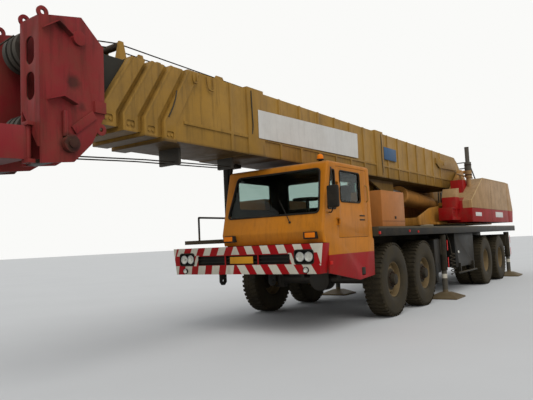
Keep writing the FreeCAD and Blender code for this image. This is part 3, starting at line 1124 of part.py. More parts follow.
def foot_braces():
    """Long plate beside the boom's foot on each side, with its round boss."""
    outline = [("foot_brace_rear_x", "foot_brace_low_z + 40"),
               ("foot_brace_front_x - 260", "foot_brace_low_z"),
               ("foot_brace_front_x", "foot_brace_low_z + 120"),
               ("foot_brace_front_x", "foot_brace_top_z - 60"),
               ("foot_brace_rear_x", "foot_brace_top_z")]
    parts = []
    for side, sign in SIDES:
        start = "base_half_width + foot_brace_out" if side == "left" else "- base_half_width + 2"
        parts.append(prism(side + "_foot_brace", "XZ", [outline], start, "foot_brace_out + 2"))
        parts.append(bar(side + "_foot_boss", "Y", "foot_boss_radius", "foot_boss_x",
                         "base_half_width - 2" if side == "left" else "- base_half_width - foot_boss_out",
                         "foot_boss_z", "foot_boss_out + 2"))
    return parts


def boom_foot():
    """Rounded rear end of the base section, with the tube that turns on the foot pin."""
    outline = [("base_rear_x", "boom_mid_z + base_half_height"),
               ("foot_x - 20", "boom_mid_z + base_half_height - 180"),
               ("foot_x - 290", "foot_z + 190"), ("foot_x - 290", "foot_z - 140"),
               ("foot_x - 120", "foot_z - 330"), ("base_rear_x", "boom_mid_z - base_half_height")]
    parts = []
    for side, sign in SIDES:
        start = "base_half_width" if side == "left" else "- base_half_width + 60"
        parts.append(prism(side + "_foot_plate", "XZ", [outline], start, "60"))
    parts.append(bar("foot_tube", "Y", "foot_tube_radius", "foot_x", "- cheek_inner_y + 8", "foot_z",
                     "cheek_inner_y * 2 - 16"))
    parts.append(box("foot_back", "base_rear_x - 24", "- base_half_width", "boom_mid_z - base_half_height",
                     "24", "base_half_width * 2", "base_half_height * 2"))
    return parts


def boom_ribs():
    """Upright stiffeners along both sides of the base section, and one long rail."""
    parts = []
    for side, sign in SIDES:
        inner = "base_half_width - 2" if side == "left" else "- base_half_width - rib_thick"
        for number in range(16):
            parts.append(box("%s_rib_%d" % (side, number), "rib_first_x - rib_pitch * %d" % number, inner,
                             "boom_mid_z - base_half_height", "rib_width", "rib_thick + 2",
                             "base_half_height * 2"))
        parts.append(box(side + "_rail", "base_rear_x", inner, "rib_rail_z",
                         "base_front_x + 100 - base_rear_x",
                         "rib_thick + 2", "rib_rail_height"))
    return parts


def lift_bracket():
    """The two gusset plates under the base section that the lift cylinder's eye sits between."""
    outline = [("gusset_front_x", "boom_mid_z - base_half_height + 4"), ("gusset_low_x", "gusset_low_z"),
               ("gusset_rear_x", "gusset_rear_z"), ("gusset_rear_x", "boom_mid_z - base_half_height + 4")]
    parts = []
    for side, sign in SIDES:
        start = "gusset_inner_y + gusset_thick" if side == "left" else "- gusset_inner_y"
        parts.append(prism(side + "_gusset", "XZ", [outline], start, "gusset_thick"))
    return parts


def head_trim():
    """Bent plates over the head's openings, slanted side bars, and the motor low on the left cheek."""
    parts = []
    for side, sign in SIDES:
        def proud(out):
            return ("head_half_width + " + out) if side == "left" else "- head_half_width + 2"
        for label in ("low", "high"):
            peak_x = label + "_canopy_x"
            peak_z = label + "_canopy_z"
            fall = " - %s_canopy_fall" % label
            parts.append(prism("%s_%s_canopy" % (side, label), "XZ", [[
                (peak_x + " + canopy_front", peak_z + fall), (peak_x, peak_z),
                (peak_x + " - canopy_rear", peak_z + fall),
                (peak_x + " - canopy_rear", peak_z + fall + " - canopy_thick"),
                (peak_x, peak_z + " - canopy_thick"),
                (peak_x + " + canopy_front", peak_z + fall + " - canopy_thick")]],
                proud("canopy_out"), "canopy_out + 2"))
        parts.append(prism(side + "_head_brace", "XZ", [[
            ("brace_rear_x - brace_shift_x", "brace_rear_z - brace_shift_z"),
            ("brace_front_x - brace_shift_x", "brace_front_z - brace_shift_z"),
            ("brace_front_x + brace_shift_x", "brace_front_z + brace_shift_z"),
            ("brace_rear_x + brace_shift_x", "brace_rear_z + brace_shift_z")]], proud("brace_out"),
            "brace_out + 2"))
        parts.append(box(side + "_cheek_block", "head_rear_x",
                         "head_half_width - 2" if side == "left" else "- head_half_width - cheek_block_out",
                         "head_waist_z + 10", "150", "cheek_block_out + 2", "130"))
    parts.append(bar("motor", "Y", "motor_radius", "motor_x", "head_half_width - 2", "motor_z",
                     "motor_out + 2"))
    parts.append(bar("motor_hub", "Y", "motor_hub_radius", "motor_x", "head_half_width + motor_out - 2",
                     "motor_z", "24"))
    parts.append(bar("riser", "Z", "riser_radius", "riser_x", "head_half_width + riser_radius - 6",
                     "riser_low_z",
                     "riser_height"))
    return parts


def make_head():
    """Boom head: four cheeks, front webs with their tall eyes, and the stub that is pinned below."""
    cheek = [("head_front_x", "head_chin_z - 45"), ("head_front_x", "head_brow_z"),
             ("head_top_x", "head_top_z"),
             ("head_rear_x", "head_shoulder_z"), ("head_rear_x", "head_waist_z"),
             ("head_low_x", "head_low_z"),
             ("head_chin_x", "head_chin_z")]
    parts = []
    ear_bores = []
    for side, sign in SIDES:
        outer = "head_half_width" if side == "left" else "- head_half_width + head_plate"
        inner = "head_inner_y + head_plate" if side == "left" else "- head_inner_y"
        parts.append(prism(side + "_outer_cheek", "XZ", [cheek], outer, "head_plate"))
        front_cheek = [("head_front_x", "head_chin_z - 45"), ("head_front_x", "head_brow_z"),
                       ("tip_x", "head_top_z - 5"), ("tip_x", "head_chin_z + 60"),
                       ("head_chin_x", "head_chin_z")]
        parts.append(prism(side + "_inner_cheek", "XZ", [front_cheek], inner, "head_plate"))
        low = "head_inner_y" if side == "left" else "- head_half_width"
        web = box(side + "_front_web", "head_front_x - head_plate", low, "head_web_bottom_z", "head_plate",
                  "head_half_width - head_inner_y", "head_brow_z - head_web_bottom_z")
        eyes = []
        for label in ("low", "high"):
            eyes.append(slot_across("%s_%s_eye" % (side, label), "eye_radius",
                                    "head_front_x - head_plate - 10",
                                    flip("head_half_width / 2 + head_inner_y / 2", side),
                                    "eye_%s_z - eye_length / 2" % label, "eye_%s_z + eye_length / 2" % label,
                                    "head_plate + 20"))
        parts.append(cut(side + "_web", web, eyes))
        parts.append(prism(side + "_lower_web", "YZ", [flipped([
            ("head_inner_y", "head_web_bottom_z + 2"), ("head_half_width - 2", "head_web_bottom_z + 2"),
            ("head_half_width - 2", "head_skirt_z"), ("head_half_width - 60", "head_skirt_z")], side)],
            "head_front_x - head_plate", "head_plate"))
        parts.append(bar(side + "_boss", "Y", "boss_radius", "boss_x",
                         "head_half_width - 2" if side == "left" else "- head_half_width - boss_rise",
                         "boss_z",
                         "boss_rise + 2"))
        for label, x_rule, z_rule in (("top", "ear_centre_x", "ear_centre_z"),
                                      ("rear", "head_ear_x", "head_ear_z")):
            outer_ear = "head_half_width - head_plate" if side == "left" else "- head_half_width"
            parts.append(bar("%s_%s_ear" % (side, label), "Y", "ear_radius", x_rule, outer_ear, z_rule,
                             "head_plate"))
            ear_bores.append(bar("%s_%s_ear_bore" % (side, label), "Y", "ear_bore_radius", x_rule,
                                 outer_ear + " - 5",
                                 z_rule, "head_plate + 10"))
        inner_ear = "head_inner_y" if side == "left" else "- head_inner_y - head_plate"
        parts.append(bar(side + "_inner_ear", "Y", "ear_radius", "ear_centre_x", inner_ear, "ear_centre_z",
                         "head_plate"))
        ear_bores.append(bar(side + "_inner_ear_bore", "Y", "ear_bore_radius", "ear_centre_x",
                             inner_ear + " - 5",
                             "ear_centre_z", "head_plate + 10"))
    bores = []
    for side, sign in SIDES:
        for end, level in (("low", "stub_bottom_z - lug_thick - fit"), ("high", "stub_top_z + fit")):
            low = "head_inner_y" if side == "left" else "- head_half_width + 1"
            parts.append(box("%s_%s_shelf" % (side, end), "head_front_x - 160", low, level, "120",
                             "head_half_width - head_inner_y - 1", "lug_thick"))
            parts.append(box("%s_%s_lug" % (side, end), "head_front_x - 100",
                             "stub_rear_half - lug_half" if side == "left" else "- stub_rear_half - lug_half",
                             level, "100 + stub_pin_radius * 2 + 14", "lug_half * 2", "lug_thick"))
        bores.append(bar(side + "_lug_bore", "Z", "stub_pin_radius + pin_gap",
                         "head_front_x + stub_pin_radius",
                         flip("stub_rear_half", side), "stub_bottom_z - 100",
                         "stub_top_z - stub_bottom_z + 200"))
    frame = box("head_collar", "head_rear_x", "- head_half_width", "head_waist_z - 40", "head_plate * 2",
                "head_half_width * 2", "head_shoulder_z - head_waist_z + 40")
    shelf = box("head_shelf", "tip_x", "- head_half_width", "head_waist_z + 60", "head_front_x - tip_x - 300",
                "head_half_width * 2", "head_plate")
    back = box("head_back", "tip_x", "- head_half_width", "head_chin_z + 100", "head_plate",
               "head_half_width * 2", "head_shoulder_z - head_chin_z - 20")
    drop = "nest * 4"
    hole = box("head_hole", "head_rear_x - 50", "- base_half_width + " + drop,
               "boom_mid_z - base_half_height + " + drop, "tip_x - head_rear_x + 50",
               "base_half_width * 2 - nest * 8", "base_half_height * 2 - nest * 8")
    return node("boom_head", cut("head_solid", fused("head_parts",
                                                     parts + head_trim() + [frame, shelf, back]),
                                 [hole] + bores + ear_bores))


def make_sheaves():
    """Two stacks of grooved sheaves on their pins, between the head's inner cheeks."""
    parts = []
    for label in ("low", "high"):
        level = "sheave_%s_z" % label
        pieces = [bar(label + "_sheave_pin", "Y", "sheave_pin_radius", "sheave_x", "- head_inner_y", level,
                      "head_inner_y * 2")]
        for number in (-1, 0, 1):
            middle = "sheave_pitch * %d" % number
            pieces.append(turned("%s_sheave_%d" % (label, number + 2),
                                 [[("- sheave_width / 2", "0"), ("- sheave_width / 2", "sheave_radius"),
                                   ("0", "sheave_radius - sheave_groove"),
                                   ("sheave_width / 2", "sheave_radius"),
                                   ("sheave_width / 2", "0")]], "sheave_x", middle, level))
        parts.append(fused(label + "_sheaves", pieces))
    parts.append(turned("stub_sheave", [[("- sheave_width / 2", "stub_pin_radius"),
                                         ("- sheave_width / 2", "stub_sheave_radius"),
                                         ("0", "stub_sheave_radius - sheave_groove"),
                                         ("sheave_width / 2", "stub_sheave_radius"),
                                         ("sheave_width / 2", "stub_pin_radius")]],
                        "stub_sheave_x", "0", "stub_bottom_z / 2 + stub_top_z / 2"))
    return node("head_sheaves", together("sheave_stacks", parts))


def make_stub():
    """Short tapered arm pinned to the front of the head, with a sheave at its end."""
    outer = [("stub_rear_x", "- stub_rear_half"), ("stub_front_x", "- stub_front_half"),
             ("stub_front_x + 120", "- stub_front_half"), ("stub_front_x + 120", "stub_front_half"),
             ("stub_front_x", "stub_front_half"), ("stub_rear_x", "stub_rear_half")]
    inner = [("stub_rear_x - 10", "- stub_rear_half + stub_wall"),
             ("stub_front_x - 200", "- stub_front_half - 40"),
             ("stub_front_x - 200", "stub_front_half + 40"), ("stub_rear_x - 10",
                                                              "stub_rear_half - stub_wall")]
    block = prism("stub_block", "XY", [outer], "stub_bottom_z", "stub_top_z - stub_bottom_z")
    hollow = prism("stub_hollow", "XY", [inner], "stub_bottom_z + stub_wall",
                   "stub_top_z - stub_bottom_z - stub_wall * 2")
    slot = box("stub_slot", "stub_front_x - 180", "- sheave_width / 2 - 6", "stub_bottom_z - 5", "400",
               "sheave_width + 12", "stub_top_z - stub_bottom_z + 10")
    parts = [bar("stub_sheave_pin", "Y", "stub_pin_radius", "stub_sheave_x", "- stub_front_half",
                 "stub_bottom_z / 2 + stub_top_z / 2", "stub_front_half * 2")]
    for side, sign in SIDES:
        parts.append(bar(side + "_stub_pin", "Z", "stub_pin_radius", "head_front_x + stub_pin_radius",
                         flip("stub_rear_half", side), "stub_bottom_z - 30",
                         "stub_top_z - stub_bottom_z + 60"))
    arm = fused("stub_arm", [cut("stub_cut", block, [hollow, slot])] + parts)
    return node("jib_stub", arm)


def make_lift_cylinder():
    """Barrel and rod along the line from the frame's ear to the boom's bracket."""
    run_x = SIZES["lift_eye_x"] - SIZES["lift_foot_x"]
    run_z = SIZES["lift_eye_z"] - SIZES["lift_foot_z"]
    line = FreeCAD.Vector(run_x, 0, run_z)
    turn = FreeCAD.Rotation(FreeCAD.Vector(1, 0, 0), line)
    reach = "sqrt((lift_eye_x - lift_foot_x) ^ 2 + (lift_eye_z - lift_foot_z) ^ 2)"

    def on_line(name, radius, start, length):
        thing = doc.addObject("Part::Cylinder", name)
        thing.Placement = FreeCAD.Placement(FreeCAD.Vector(), FreeCAD.Rotation(FreeCAD.Vector(0, 0, 1), line))
        bind(thing, "Radius", radius)
        bind(thing, "Height", length)
        place(thing, "lift_foot_x + (lift_eye_x - lift_foot_x) * (%s) / %s" % (start, reach), "0",
              "lift_foot_z + (lift_eye_z - lift_foot_z) * (%s) / %s" % (start, reach))
        return thing

    barrel = fused("barrel_solid", [
        on_line("barrel_tube", "barrel_radius", "barrel_neck", "barrel_length - barrel_neck"),
        on_line("barrel_neck_bar", "barrel_neck_radius", "100", "barrel_neck - 90"),
        on_line("gland", "gland_radius", "barrel_length - gland_length", "gland_length"),
        bar("barrel_eye", "Y", "barrel_eye_radius", "lift_foot_x", "- barrel_eye_width / 2", "lift_foot_z",
            "barrel_eye_width")])
    barrel_cuts = [on_line("barrel_bore", "rod_radius + pin_gap", "barrel_neck + barrel_wall",
                           "barrel_length"),
                   bar("barrel_pin_bore", "Y", "lift_pin_radius + pin_gap", "lift_foot_x",
                       "- barrel_eye_width", "lift_foot_z", "barrel_eye_width * 2")]
    node("lift_barrel", cut("barrel", barrel, barrel_cuts))
    rod = fused("rod_solid", [
        on_line("rod_bar", "rod_radius", "barrel_neck + barrel_wall + 120",
                reach + " - barrel_neck - barrel_wall - 120"),
        bar("rod_eye", "Y", "rod_eye_radius", "lift_eye_x", "- rod_eye_width / 2", "lift_eye_z",
            "rod_eye_width")])
    return node("lift_rod", rod)


def make_driver_cab():
    """Hollow cab shell with its windows and door opening, the panes, and the door."""
    outline = [("cab_rear_x", "cab_floor_z"), ("cab_rear_x + 30", "cab_roof_z"),
               ("cab_front_top_x + 12", "cab_roof_z"), ("cab_front_sill_x", "cab_sill_z"),
               ("cab_crease_x", "cab_crease_z"), ("cab_toe_x", "cab_floor_z")]
    inside = [("cab_rear_x + cab_wall", "cab_floor_z + cab_wall"),
              ("cab_rear_x + 30 + cab_wall", "cab_roof_z - cab_roof_round - cab_wall / 2"),
              ("cab_rear_x + 30 + cab_roof_round + cab_wall / 2", "cab_roof_z - cab_wall"),
              ("cab_front_top_x - cab_roof_round - cab_wall / 2", "cab_roof_z - cab_wall"),
              ("cab_front_top_x + 30 - cab_wall", "cab_roof_z - cab_roof_round - cab_wall / 2"),
              ("cab_front_sill_x - cab_wall", "cab_sill_z"), ("cab_crease_x - cab_wall", "cab_crease_z"),
              ("cab_toe_x - cab_wall", "cab_floor_z + cab_wall")]
    outer = prism("cab_outer", "XZ", [outline], "cab_left_y", "cab_left_y - cab_right_y")
    round_edges(outer, "XZ", "cab_roof_round", above="cab_floor_z + 20")
    round_edges(outer, "XZ", "cab_side_round", along=False, above="cab_floor_z + 20")
    hollow = prism("cab_inside", "XZ", [inside], "cab_left_y - cab_wall",
                   "cab_left_y - cab_right_y - cab_wall * 2")
    door_hole = box("door_hole", "door_rear_x", "cab_left_y - cab_wall - 10", "door_low_z",
                    "door_front_x - door_rear_x", "cab_wall + 20", "door_top_z - door_low_z")
    skirt = prism("skirt", "XZ", [[("skirt_rear_x + 30", "skirt_low_z + 40"), ("skirt_rear_x", "skirt_top_z"),
                                   ("cab_toe_x", "skirt_top_z"),
                                   ("bumper_front_x - bumper_depth - fit", "bumper_top_z"),
                                   ("bumper_front_x - bumper_depth - fit", "skirt_front_z"),
                                   ("skirt_low_x", "skirt_low_z")],
                                  [("step_x - step_size / 2", "step_z - step_size / 2"),
                                   ("step_x + step_size / 2", "step_z - step_size / 2"),
                                   ("step_x + step_size / 2", "step_z + step_size / 2"),
                                   ("step_x - step_size / 2", "step_z + step_size / 2")]],
                  "cab_left_y", "skirt_thick")
    sill = box("cab_sill", "cab_rear_x", "cab_left_y - skirt_thick", "cab_floor_z - 30",
               "bumper_front_x - bumper_depth - fit - cab_rear_x", "skirt_thick", "60")
    shell = cut("cab_holed", cut("cab_hollow", outer, [hollow]), cab_openings("cab_cut") + [door_hole])
    hinges = []
    leaves = []
    bores = []
    for end, level in HINGE_LEVELS:
        hinges += hinge_frame("cab_hinge_" + end, "+", "door_front_x", "left", level)
        leaves += hinge_leaf("cab_hinge_" + end, "-", "door_front_x", "left", level)
        bores.append(hinge_bore("cab_hinge_" + end, "door_front_x", "left", level))
    node("cab_shell", fused("cab_solid", [shell, skirt, sill] + hinges))
    panes = []
    for number, opening in enumerate(cab_openings("cab_glass")):
        panes.append(common("cab_pane_%d" % number, opening, cab_sheet("cab_sheet_%d" % number, number)))
    node("cab_glass", together("cab_panes", panes))
    door = box("door_slab", "door_rear_x + door_gap", "cab_left_y - cab_wall", "door_low_z + door_gap",
               "door_front_x - door_rear_x - door_gap * 2", "cab_wall",
               "door_top_z - door_low_z - door_gap * 2")
    node("cab_door", cut("door", fused("door_and_leaves", [door] + leaves),
                         bores + [door_window("door_window", "cab_wall + 20", "- cab_wall - 10")]))
    pane = door_window("door_pane", "glass", "- cab_wall / 2 - glass / 2")
    return node("cab_door_glass", pane)


def hinge_frame(name, way, x_rule, side, low_z):
    """A hinge's pin with the two lugs that hold it; way is '+' or '-' along X, to the fixed side."""
    y_rule = flip("%s + hinge_off" % HINGE_FACE[side], side)
    face = HINGE_FACE[side] if side == "left" else "- %s - hinge_off - hinge_eye_radius" % HINGE_FACE[side]
    pieces = [bar(name + "_pin", "Z", "hinge_pin_radius", x_rule, y_rule, low_z + " - hinge_lug",
                  "hinge_height + hinge_lug * 2")]
    for end, level in (("low", low_z + " - hinge_lug"), ("high", low_z + " + hinge_height + fit")):
        pieces.append(box("%s_%s_lug" % (name, end),
                          x_rule + (" - 10" if way == "+" else " - hinge_leaf + 10"),
                          face, level, "hinge_leaf", "hinge_off + hinge_eye_radius", "hinge_lug - fit"))
    return pieces


def hinge_leaf(name, way, x_rule, side, low_z):
    """The door's eye round that pin and the leaf that joins it to the door."""
    y_rule = flip("%s + hinge_off" % HINGE_FACE[side], side)
    face = HINGE_FACE[side] + " - 1" if side == "left" else "- %s - hinge_off + 3" % HINGE_FACE[side]
    start = x_rule if way == "+" else x_rule + " - hinge_leaf"
    return [bar(name + "_eye", "Z", "hinge_eye_radius", x_rule, y_rule, low_z, "hinge_height"),
            box(name + "_leaf", start, face, low_z, "hinge_leaf", "hinge_off - 2", "hinge_height")]


def hinge_bore(name, x_rule, side, low_z):
    return bar(name + "_bore", "Z", "hinge_pin_radius + pin_gap", x_rule,
               flip("%s + hinge_off" % HINGE_FACE[side], side), low_z + " - 5", "hinge_height + 10")


HINGE_FACE = {"left": "cab_left_y", "right": "op_outer_y"}
HINGE_LEVELS = (("low", "hinge_low_z"), ("high", "hinge_high_z"))


def door_window(name, thick, inset):
    return prism(name, "XZ", [[("door_window_rear_x", "window_low_z"),
                               ("door_window_front_x", "window_low_z"),
                               ("door_window_front_x", "window_top_z"),
                               ("door_window_rear_x", "window_top_z")]],
                 "cab_left_y %s + %s" % (inset, thick), thick, "window_round")


def cab_openings(label):
    """Windscreen, right side, rear and quarter windows as cutting blocks."""
    screen = prism(label + "_screen", "YZ", [[("screen_right_y", "screen_low_z"),
                                              ("screen_left_y", "screen_low_z"),
                                              ("screen_left_y - 40", "screen_top_z"),
                                              ("screen_right_y + 120", "screen_top_z")]],
                   "cab_front_top_x - 60", "400", "screen_round")
    right = prism(label + "_right", "XZ", [[("cab_rear_x + 300", "window_low_z"),
                                            ("cab_front_top_x - 200", "window_low_z"),
                                            ("cab_front_top_x - 200", "window_top_z"),
                                            ("cab_rear_x + 300", "window_top_z")]],
                  "cab_right_y + cab_wall + 5", "cab_wall + 10", "window_round")
    rear = prism(label + "_rear", "YZ", [[("cab_right_y + 250", "window_low_z"),
                                          ("cab_left_y - 250", "window_low_z"),
                                          ("cab_left_y - 250", "window_top_z"),
                                          ("cab_right_y + 250", "window_top_z")]],
                 "cab_rear_x - 5", "cab_wall + 80", "window_round")
    quarter = prism(label + "_quarter", "XZ", [[("quarter_rear_x", "quarter_low_z"),
                                                ("quarter_low_x", "quarter_low_z"),
                                                ("quarter_top_x", "window_top_z"),
                                                ("quarter_rear_x", "window_top_z")]],
                    "cab_left_y + 5", "cab_wall + 10", "quarter_round")
    return [screen, right, rear, quarter]


def cab_sheet(label, number):
    """A thin sheet in the middle of the wall that a cab window lies in."""
    if number == 0:
        return prism(label, "XZ", [[("cab_front_sill_x - cab_wall / 2 + glass / 2", "cab_sill_z"),
                                    ("cab_front_top_x + 30 - cab_wall / 2 + glass / 2",
                                     "cab_roof_z - cab_roof_round"),
                                    ("cab_front_top_x + 30 - cab_wall / 2 - glass / 2",
                                     "cab_roof_z - cab_roof_round"),
                                    ("cab_front_sill_x - cab_wall / 2 - glass / 2", "cab_sill_z")]],
                     "cab_left_y", "cab_left_y - cab_right_y")
    if number == 1:
        return box(label, "cab_rear_x", "cab_right_y + cab_wall / 2 - glass / 2", "cab_floor_z",
                   "cab_toe_x - cab_rear_x", "glass", "cab_roof_z - cab_floor_z")
    if number == 2:
        return prism(label, "XZ", [[("cab_rear_x + cab_wall / 2 - glass / 2", "cab_floor_z"),
                                    ("cab_rear_x + cab_wall / 2 + glass / 2", "cab_floor_z"),
                                    ("cab_rear_x + 30 + cab_wall / 2 + glass / 2",
                                     "cab_roof_z - cab_roof_round"),
                                    ("cab_rear_x + 30 + cab_wall / 2 - glass / 2",
                                     "cab_roof_z - cab_roof_round")]],
                     "cab_left_y", "cab_left_y - cab_right_y")
    return box(label, "quarter_rear_x - 20", "cab_left_y - cab_wall / 2 - glass / 2", "cab_sill_z", "400",
               "glass",
               "cab_roof_z - cab_sill_z")


def cushion_of(name, plane, middle_y, width, outline):
    """A padded cushion: an outline drawn from the side, with its corners well rounded."""
    return prism(name, plane, [outline], middle_y + " + " + width + " / 2", width, "cushion_round")


def make_cab_interior():
    """Driver's seat on its box, dashboard, steering column and wheel."""
    seat = fused("seat", [
        box("seat_box", "seat_x - 180", "seat_y - 180", "cab_floor_z + cab_wall", "360", "360",
            "seat_base + 10"),
        cushion_of("seat_pad", "XZ", "seat_y", "seat_size", [
            ("seat_x - seat_size / 2", "cab_floor_z + cab_wall + seat_base"),
            ("seat_x + seat_size / 2", "cab_floor_z + cab_wall + seat_base"),
            ("seat_x + seat_size / 2", "cab_floor_z + cab_wall + seat_base + cushion"),
            ("seat_x - seat_size / 2", "cab_floor_z + cab_wall + seat_base + cushion")]),
        cushion_of("seat_rest", "XZ", "seat_y", "seat_size", [
            ("seat_x - seat_size / 2 - 10", "cab_floor_z + cab_wall + seat_base + 30"),
            ("seat_x - seat_size / 2 + cushion - 10", "cab_floor_z + cab_wall + seat_base + 30"),
            ("seat_x - seat_size / 2 + cushion - 70", "cab_floor_z + cab_wall + seat_base + seat_back"),
            ("seat_x - seat_size / 2 - 60", "cab_floor_z + cab_wall + seat_base + seat_back")])])
    dash = prism("dash", "XZ", [[("cab_front_sill_x - cab_wall - dash_depth", "cab_floor_z + cab_wall + 260"),
                                 ("cab_front_sill_x - cab_wall", "cab_floor_z + cab_wall + 260"),
                                 ("cab_front_sill_x - cab_wall", "dash_top_z - 40"),
                                 ("cab_front_sill_x - cab_wall - dash_depth + 110", "dash_top_z"),
                                 ("cab_front_sill_x - cab_wall - dash_depth", "dash_top_z - 120")]],
                 "cab_left_y - cab_wall", "cab_left_y - cab_right_y - cab_wall * 2")
    column = bar("column", "Z", "column_radius", "steering_x", "seat_y", "cab_floor_z + cab_wall",
                 "steering_z - cab_floor_z - cab_wall + 10")
    hoop = doc.addObject("Part::Torus", "hoop")
    bind(hoop, "Radius1", "wheel_hoop_radius")
    bind(hoop, "Radius2", "wheel_hoop_tube")
    place(hoop, "steering_x", "seat_y", "steering_z")
    spoke = box("spoke", "steering_x - 20", "seat_y - wheel_hoop_radius", "steering_z - 8", "40",
                "wheel_hoop_radius * 2", "16")
    wheel = fused("steering_wheel", [column, hoop, spoke])
    return node("cab_interior", together("interior", [seat, dash, wheel]))


def make_bumper():
    """Deep front bumper with its grille slot, lamp recesses and tow eyes."""
    block = prism("bumper_block", "YZ", [[("- bumper_low_half_width", "bumper_low_z"),
                                          ("bumper_low_half_width", "bumper_low_z"),
                                          ("bumper_half_width", "bumper_top_z"),
                                          ("- bumper_half_width", "bumper_top_z")]],
                  "bumper_front_x - bumper_depth", "bumper_depth")
    cuts = [box("bumper_hollow", "bumper_front_x - bumper_depth - 10", "- bumper_low_half_width + 40",
                "bumper_low_z + 16", "bumper_depth - 70", "bumper_low_half_width * 2 - 80",
                "bumper_top_z - bumper_low_z - 32"),
            box("grille_slot", "bumper_front_x - grille_depth", "- grille_half_width", "grille_low_z",
                "grille_depth + 10", "grille_half_width * 2", "grille_top_z - grille_low_z")]
    for side, sign in SIDES:
        low = "lamp_box_inner_y" if side == "left" else "- lamp_box_inner_y - lamp_box_width"
        cuts.append(box(side + "_lamp_box", "bumper_front_x - lamp_box_depth", low,
                        "lamp_z - lamp_box_height / 2",
                        "lamp_box_depth + 10", "lamp_box_width", "lamp_box_height"))
    parts = [cut("bumper_cut", block, cuts)]
    for side, sign in SIDES:
        high = "tow_y + tow_thick / 2" if side == "left" else "- tow_y + tow_thick / 2"
        plate = prism(side + "_tow_plate", "XZ", [[("bumper_front_x - tow_length - 60", "bumper_low_z + 10"),
                                                   ("bumper_front_x - 60", "bumper_low_z + 10"),
                                                   ("bumper_front_x - 60", "bumper_low_z - tow_height + 50"),
                                                   ("bumper_front_x - 110", "bumper_low_z - tow_height"),
                                                   ("bumper_front_x - tow_length - 10",
                                                    "bumper_low_z - tow_height"),
                                                   ("bumper_front_x - tow_length - 60",
                                                    "bumper_low_z - tow_height + 50")],
                                                  ("circle", "bumper_front_x - tow_length / 2 - 60",
                                                   "bumper_low_z - tow_height / 2 - 20", "tow_bore_radius")],
                      high, "tow_thick")
        parts.append(plate)
    for side, sign in SIDES:
        low = "upright_y" if side == "left" else "- upright_y - upright_width"
        parts.append(box(side + "_grille_upright", "bumper_front_x - grille_depth - 5", low,
                         "grille_low_z - 5",
                         "upright_depth", "upright_width", "grille_top_z - grille_low_z + 10"))
    for number in (0, 1):
        parts.append(box("grille_bar_%d" % number, "bumper_front_x - grille_depth - 5",
                         "- grille_half_width - 5",
                         "grille_low_z + grille_pitch / 2 + grille_pitch * %d" % number, "grille_bar_depth",
                         "grille_half_width * 2 + 10", "grille_bar_height"))
    parts.append(prism("number_plate", "YZ", [[("- plate_half_width", "plate_low_z"),
                                               ("plate_half_width", "plate_low_z"),
                                               ("plate_half_width", "plate_low_z + plate_height"),
                                               ("- plate_half_width", "plate_low_z + plate_height")]],
                       "bumper_front_x - grille_depth + grille_bar_depth - 6", "8", "plate_round"))
    return node("bumper", fused("bumper_solid", parts))


def make_lamps():
    """Twin headlamps and a fog lamp each side, turn lamps, and the roof beacon."""
    parts = []
    for side, sign in SIDES:
        for number in (0, 1):
            parts.append(lamp("%s_headlamp_%d" % (side, number), "lamp_radius",
                              "bumper_front_x - lamp_box_depth",
                              flip("lamp_first_y + lamp_pitch * %d" % number, side), "lamp_z", "lamp_depth"))
        parts.append(lamp(side + "_fog_lamp", "fog_radius", "bumper_front_x", flip("fog_y", side), "fog_z",
                          "fog_length"))
        low = "turn_lamp_y" if side == "left" else "- turn_lamp_right_y"
        parts.append(prism(side + "_turn_lamp", "XZ", [[
            ("cab_crease_x * 7 / 9 + cab_toe_x * 2 / 9 + fit", "cab_crease_z * 7 / 9 + cab_floor_z * 2 / 9"),
            ("cab_crease_x * 7 / 9 + cab_toe_x * 2 / 9 + turn_lamp_depth",
             "cab_crease_z * 7 / 9 + cab_floor_z * 2 / 9"),
            ("cab_crease_x * 3 / 9 + cab_toe_x * 6 / 9 + turn_lamp_depth",
             "cab_crease_z * 3 / 9 + cab_floor_z * 6 / 9"),
            ("cab_crease_x * 3 / 9 + cab_toe_x * 6 / 9 + fit",
             "cab_crease_z * 3 / 9 + cab_floor_z * 6 / 9")]],
            low, "turn_lamp_width"))
        parts.append(box(side + "_rear_lamp", "deck_rear_x - rear_lamp_depth - fit",
                         flip("rear_lamp_y", side) + " - rear_lamp_width / 2", "deck_bottom_z + 30",
                         "rear_lamp_depth", "rear_lamp_width", "rear_lamp_height"))
    parts.append(fused("beacon", [
        bar("beacon_foot", "Z", "beacon_radius + 10", "beacon_x", "beacon_y", "cab_roof_z",
            "beacon_height / 3"),
        bar("beacon_wall", "Z", "beacon_radius", "beacon_x", "beacon_y", "cab_roof_z + beacon_height / 3 - 1",
            "beacon_height / 3 + 1"),
        dome("beacon_top", "Z", "beacon_radius", "beacon_height / 3", "beacon_x", "beacon_y",
             "cab_roof_z + beacon_height / 3 * 2")]))
    return node("lamps", together("lamp_set", parts))


def lamp(name, radius, x_rule, y_rule, z_rule, length):
    """A round lamp that looks forward, with a domed lens."""
    return fused(name, [bar(name + "_rim", "X", radius, x_rule, y_rule, z_rule, length + " / 2"),
                        dome(name + "_lens", "X", radius + " - 4", length + " / 2",
                             x_rule + " + " + length + " / 2",
                             y_rule, z_rule)])


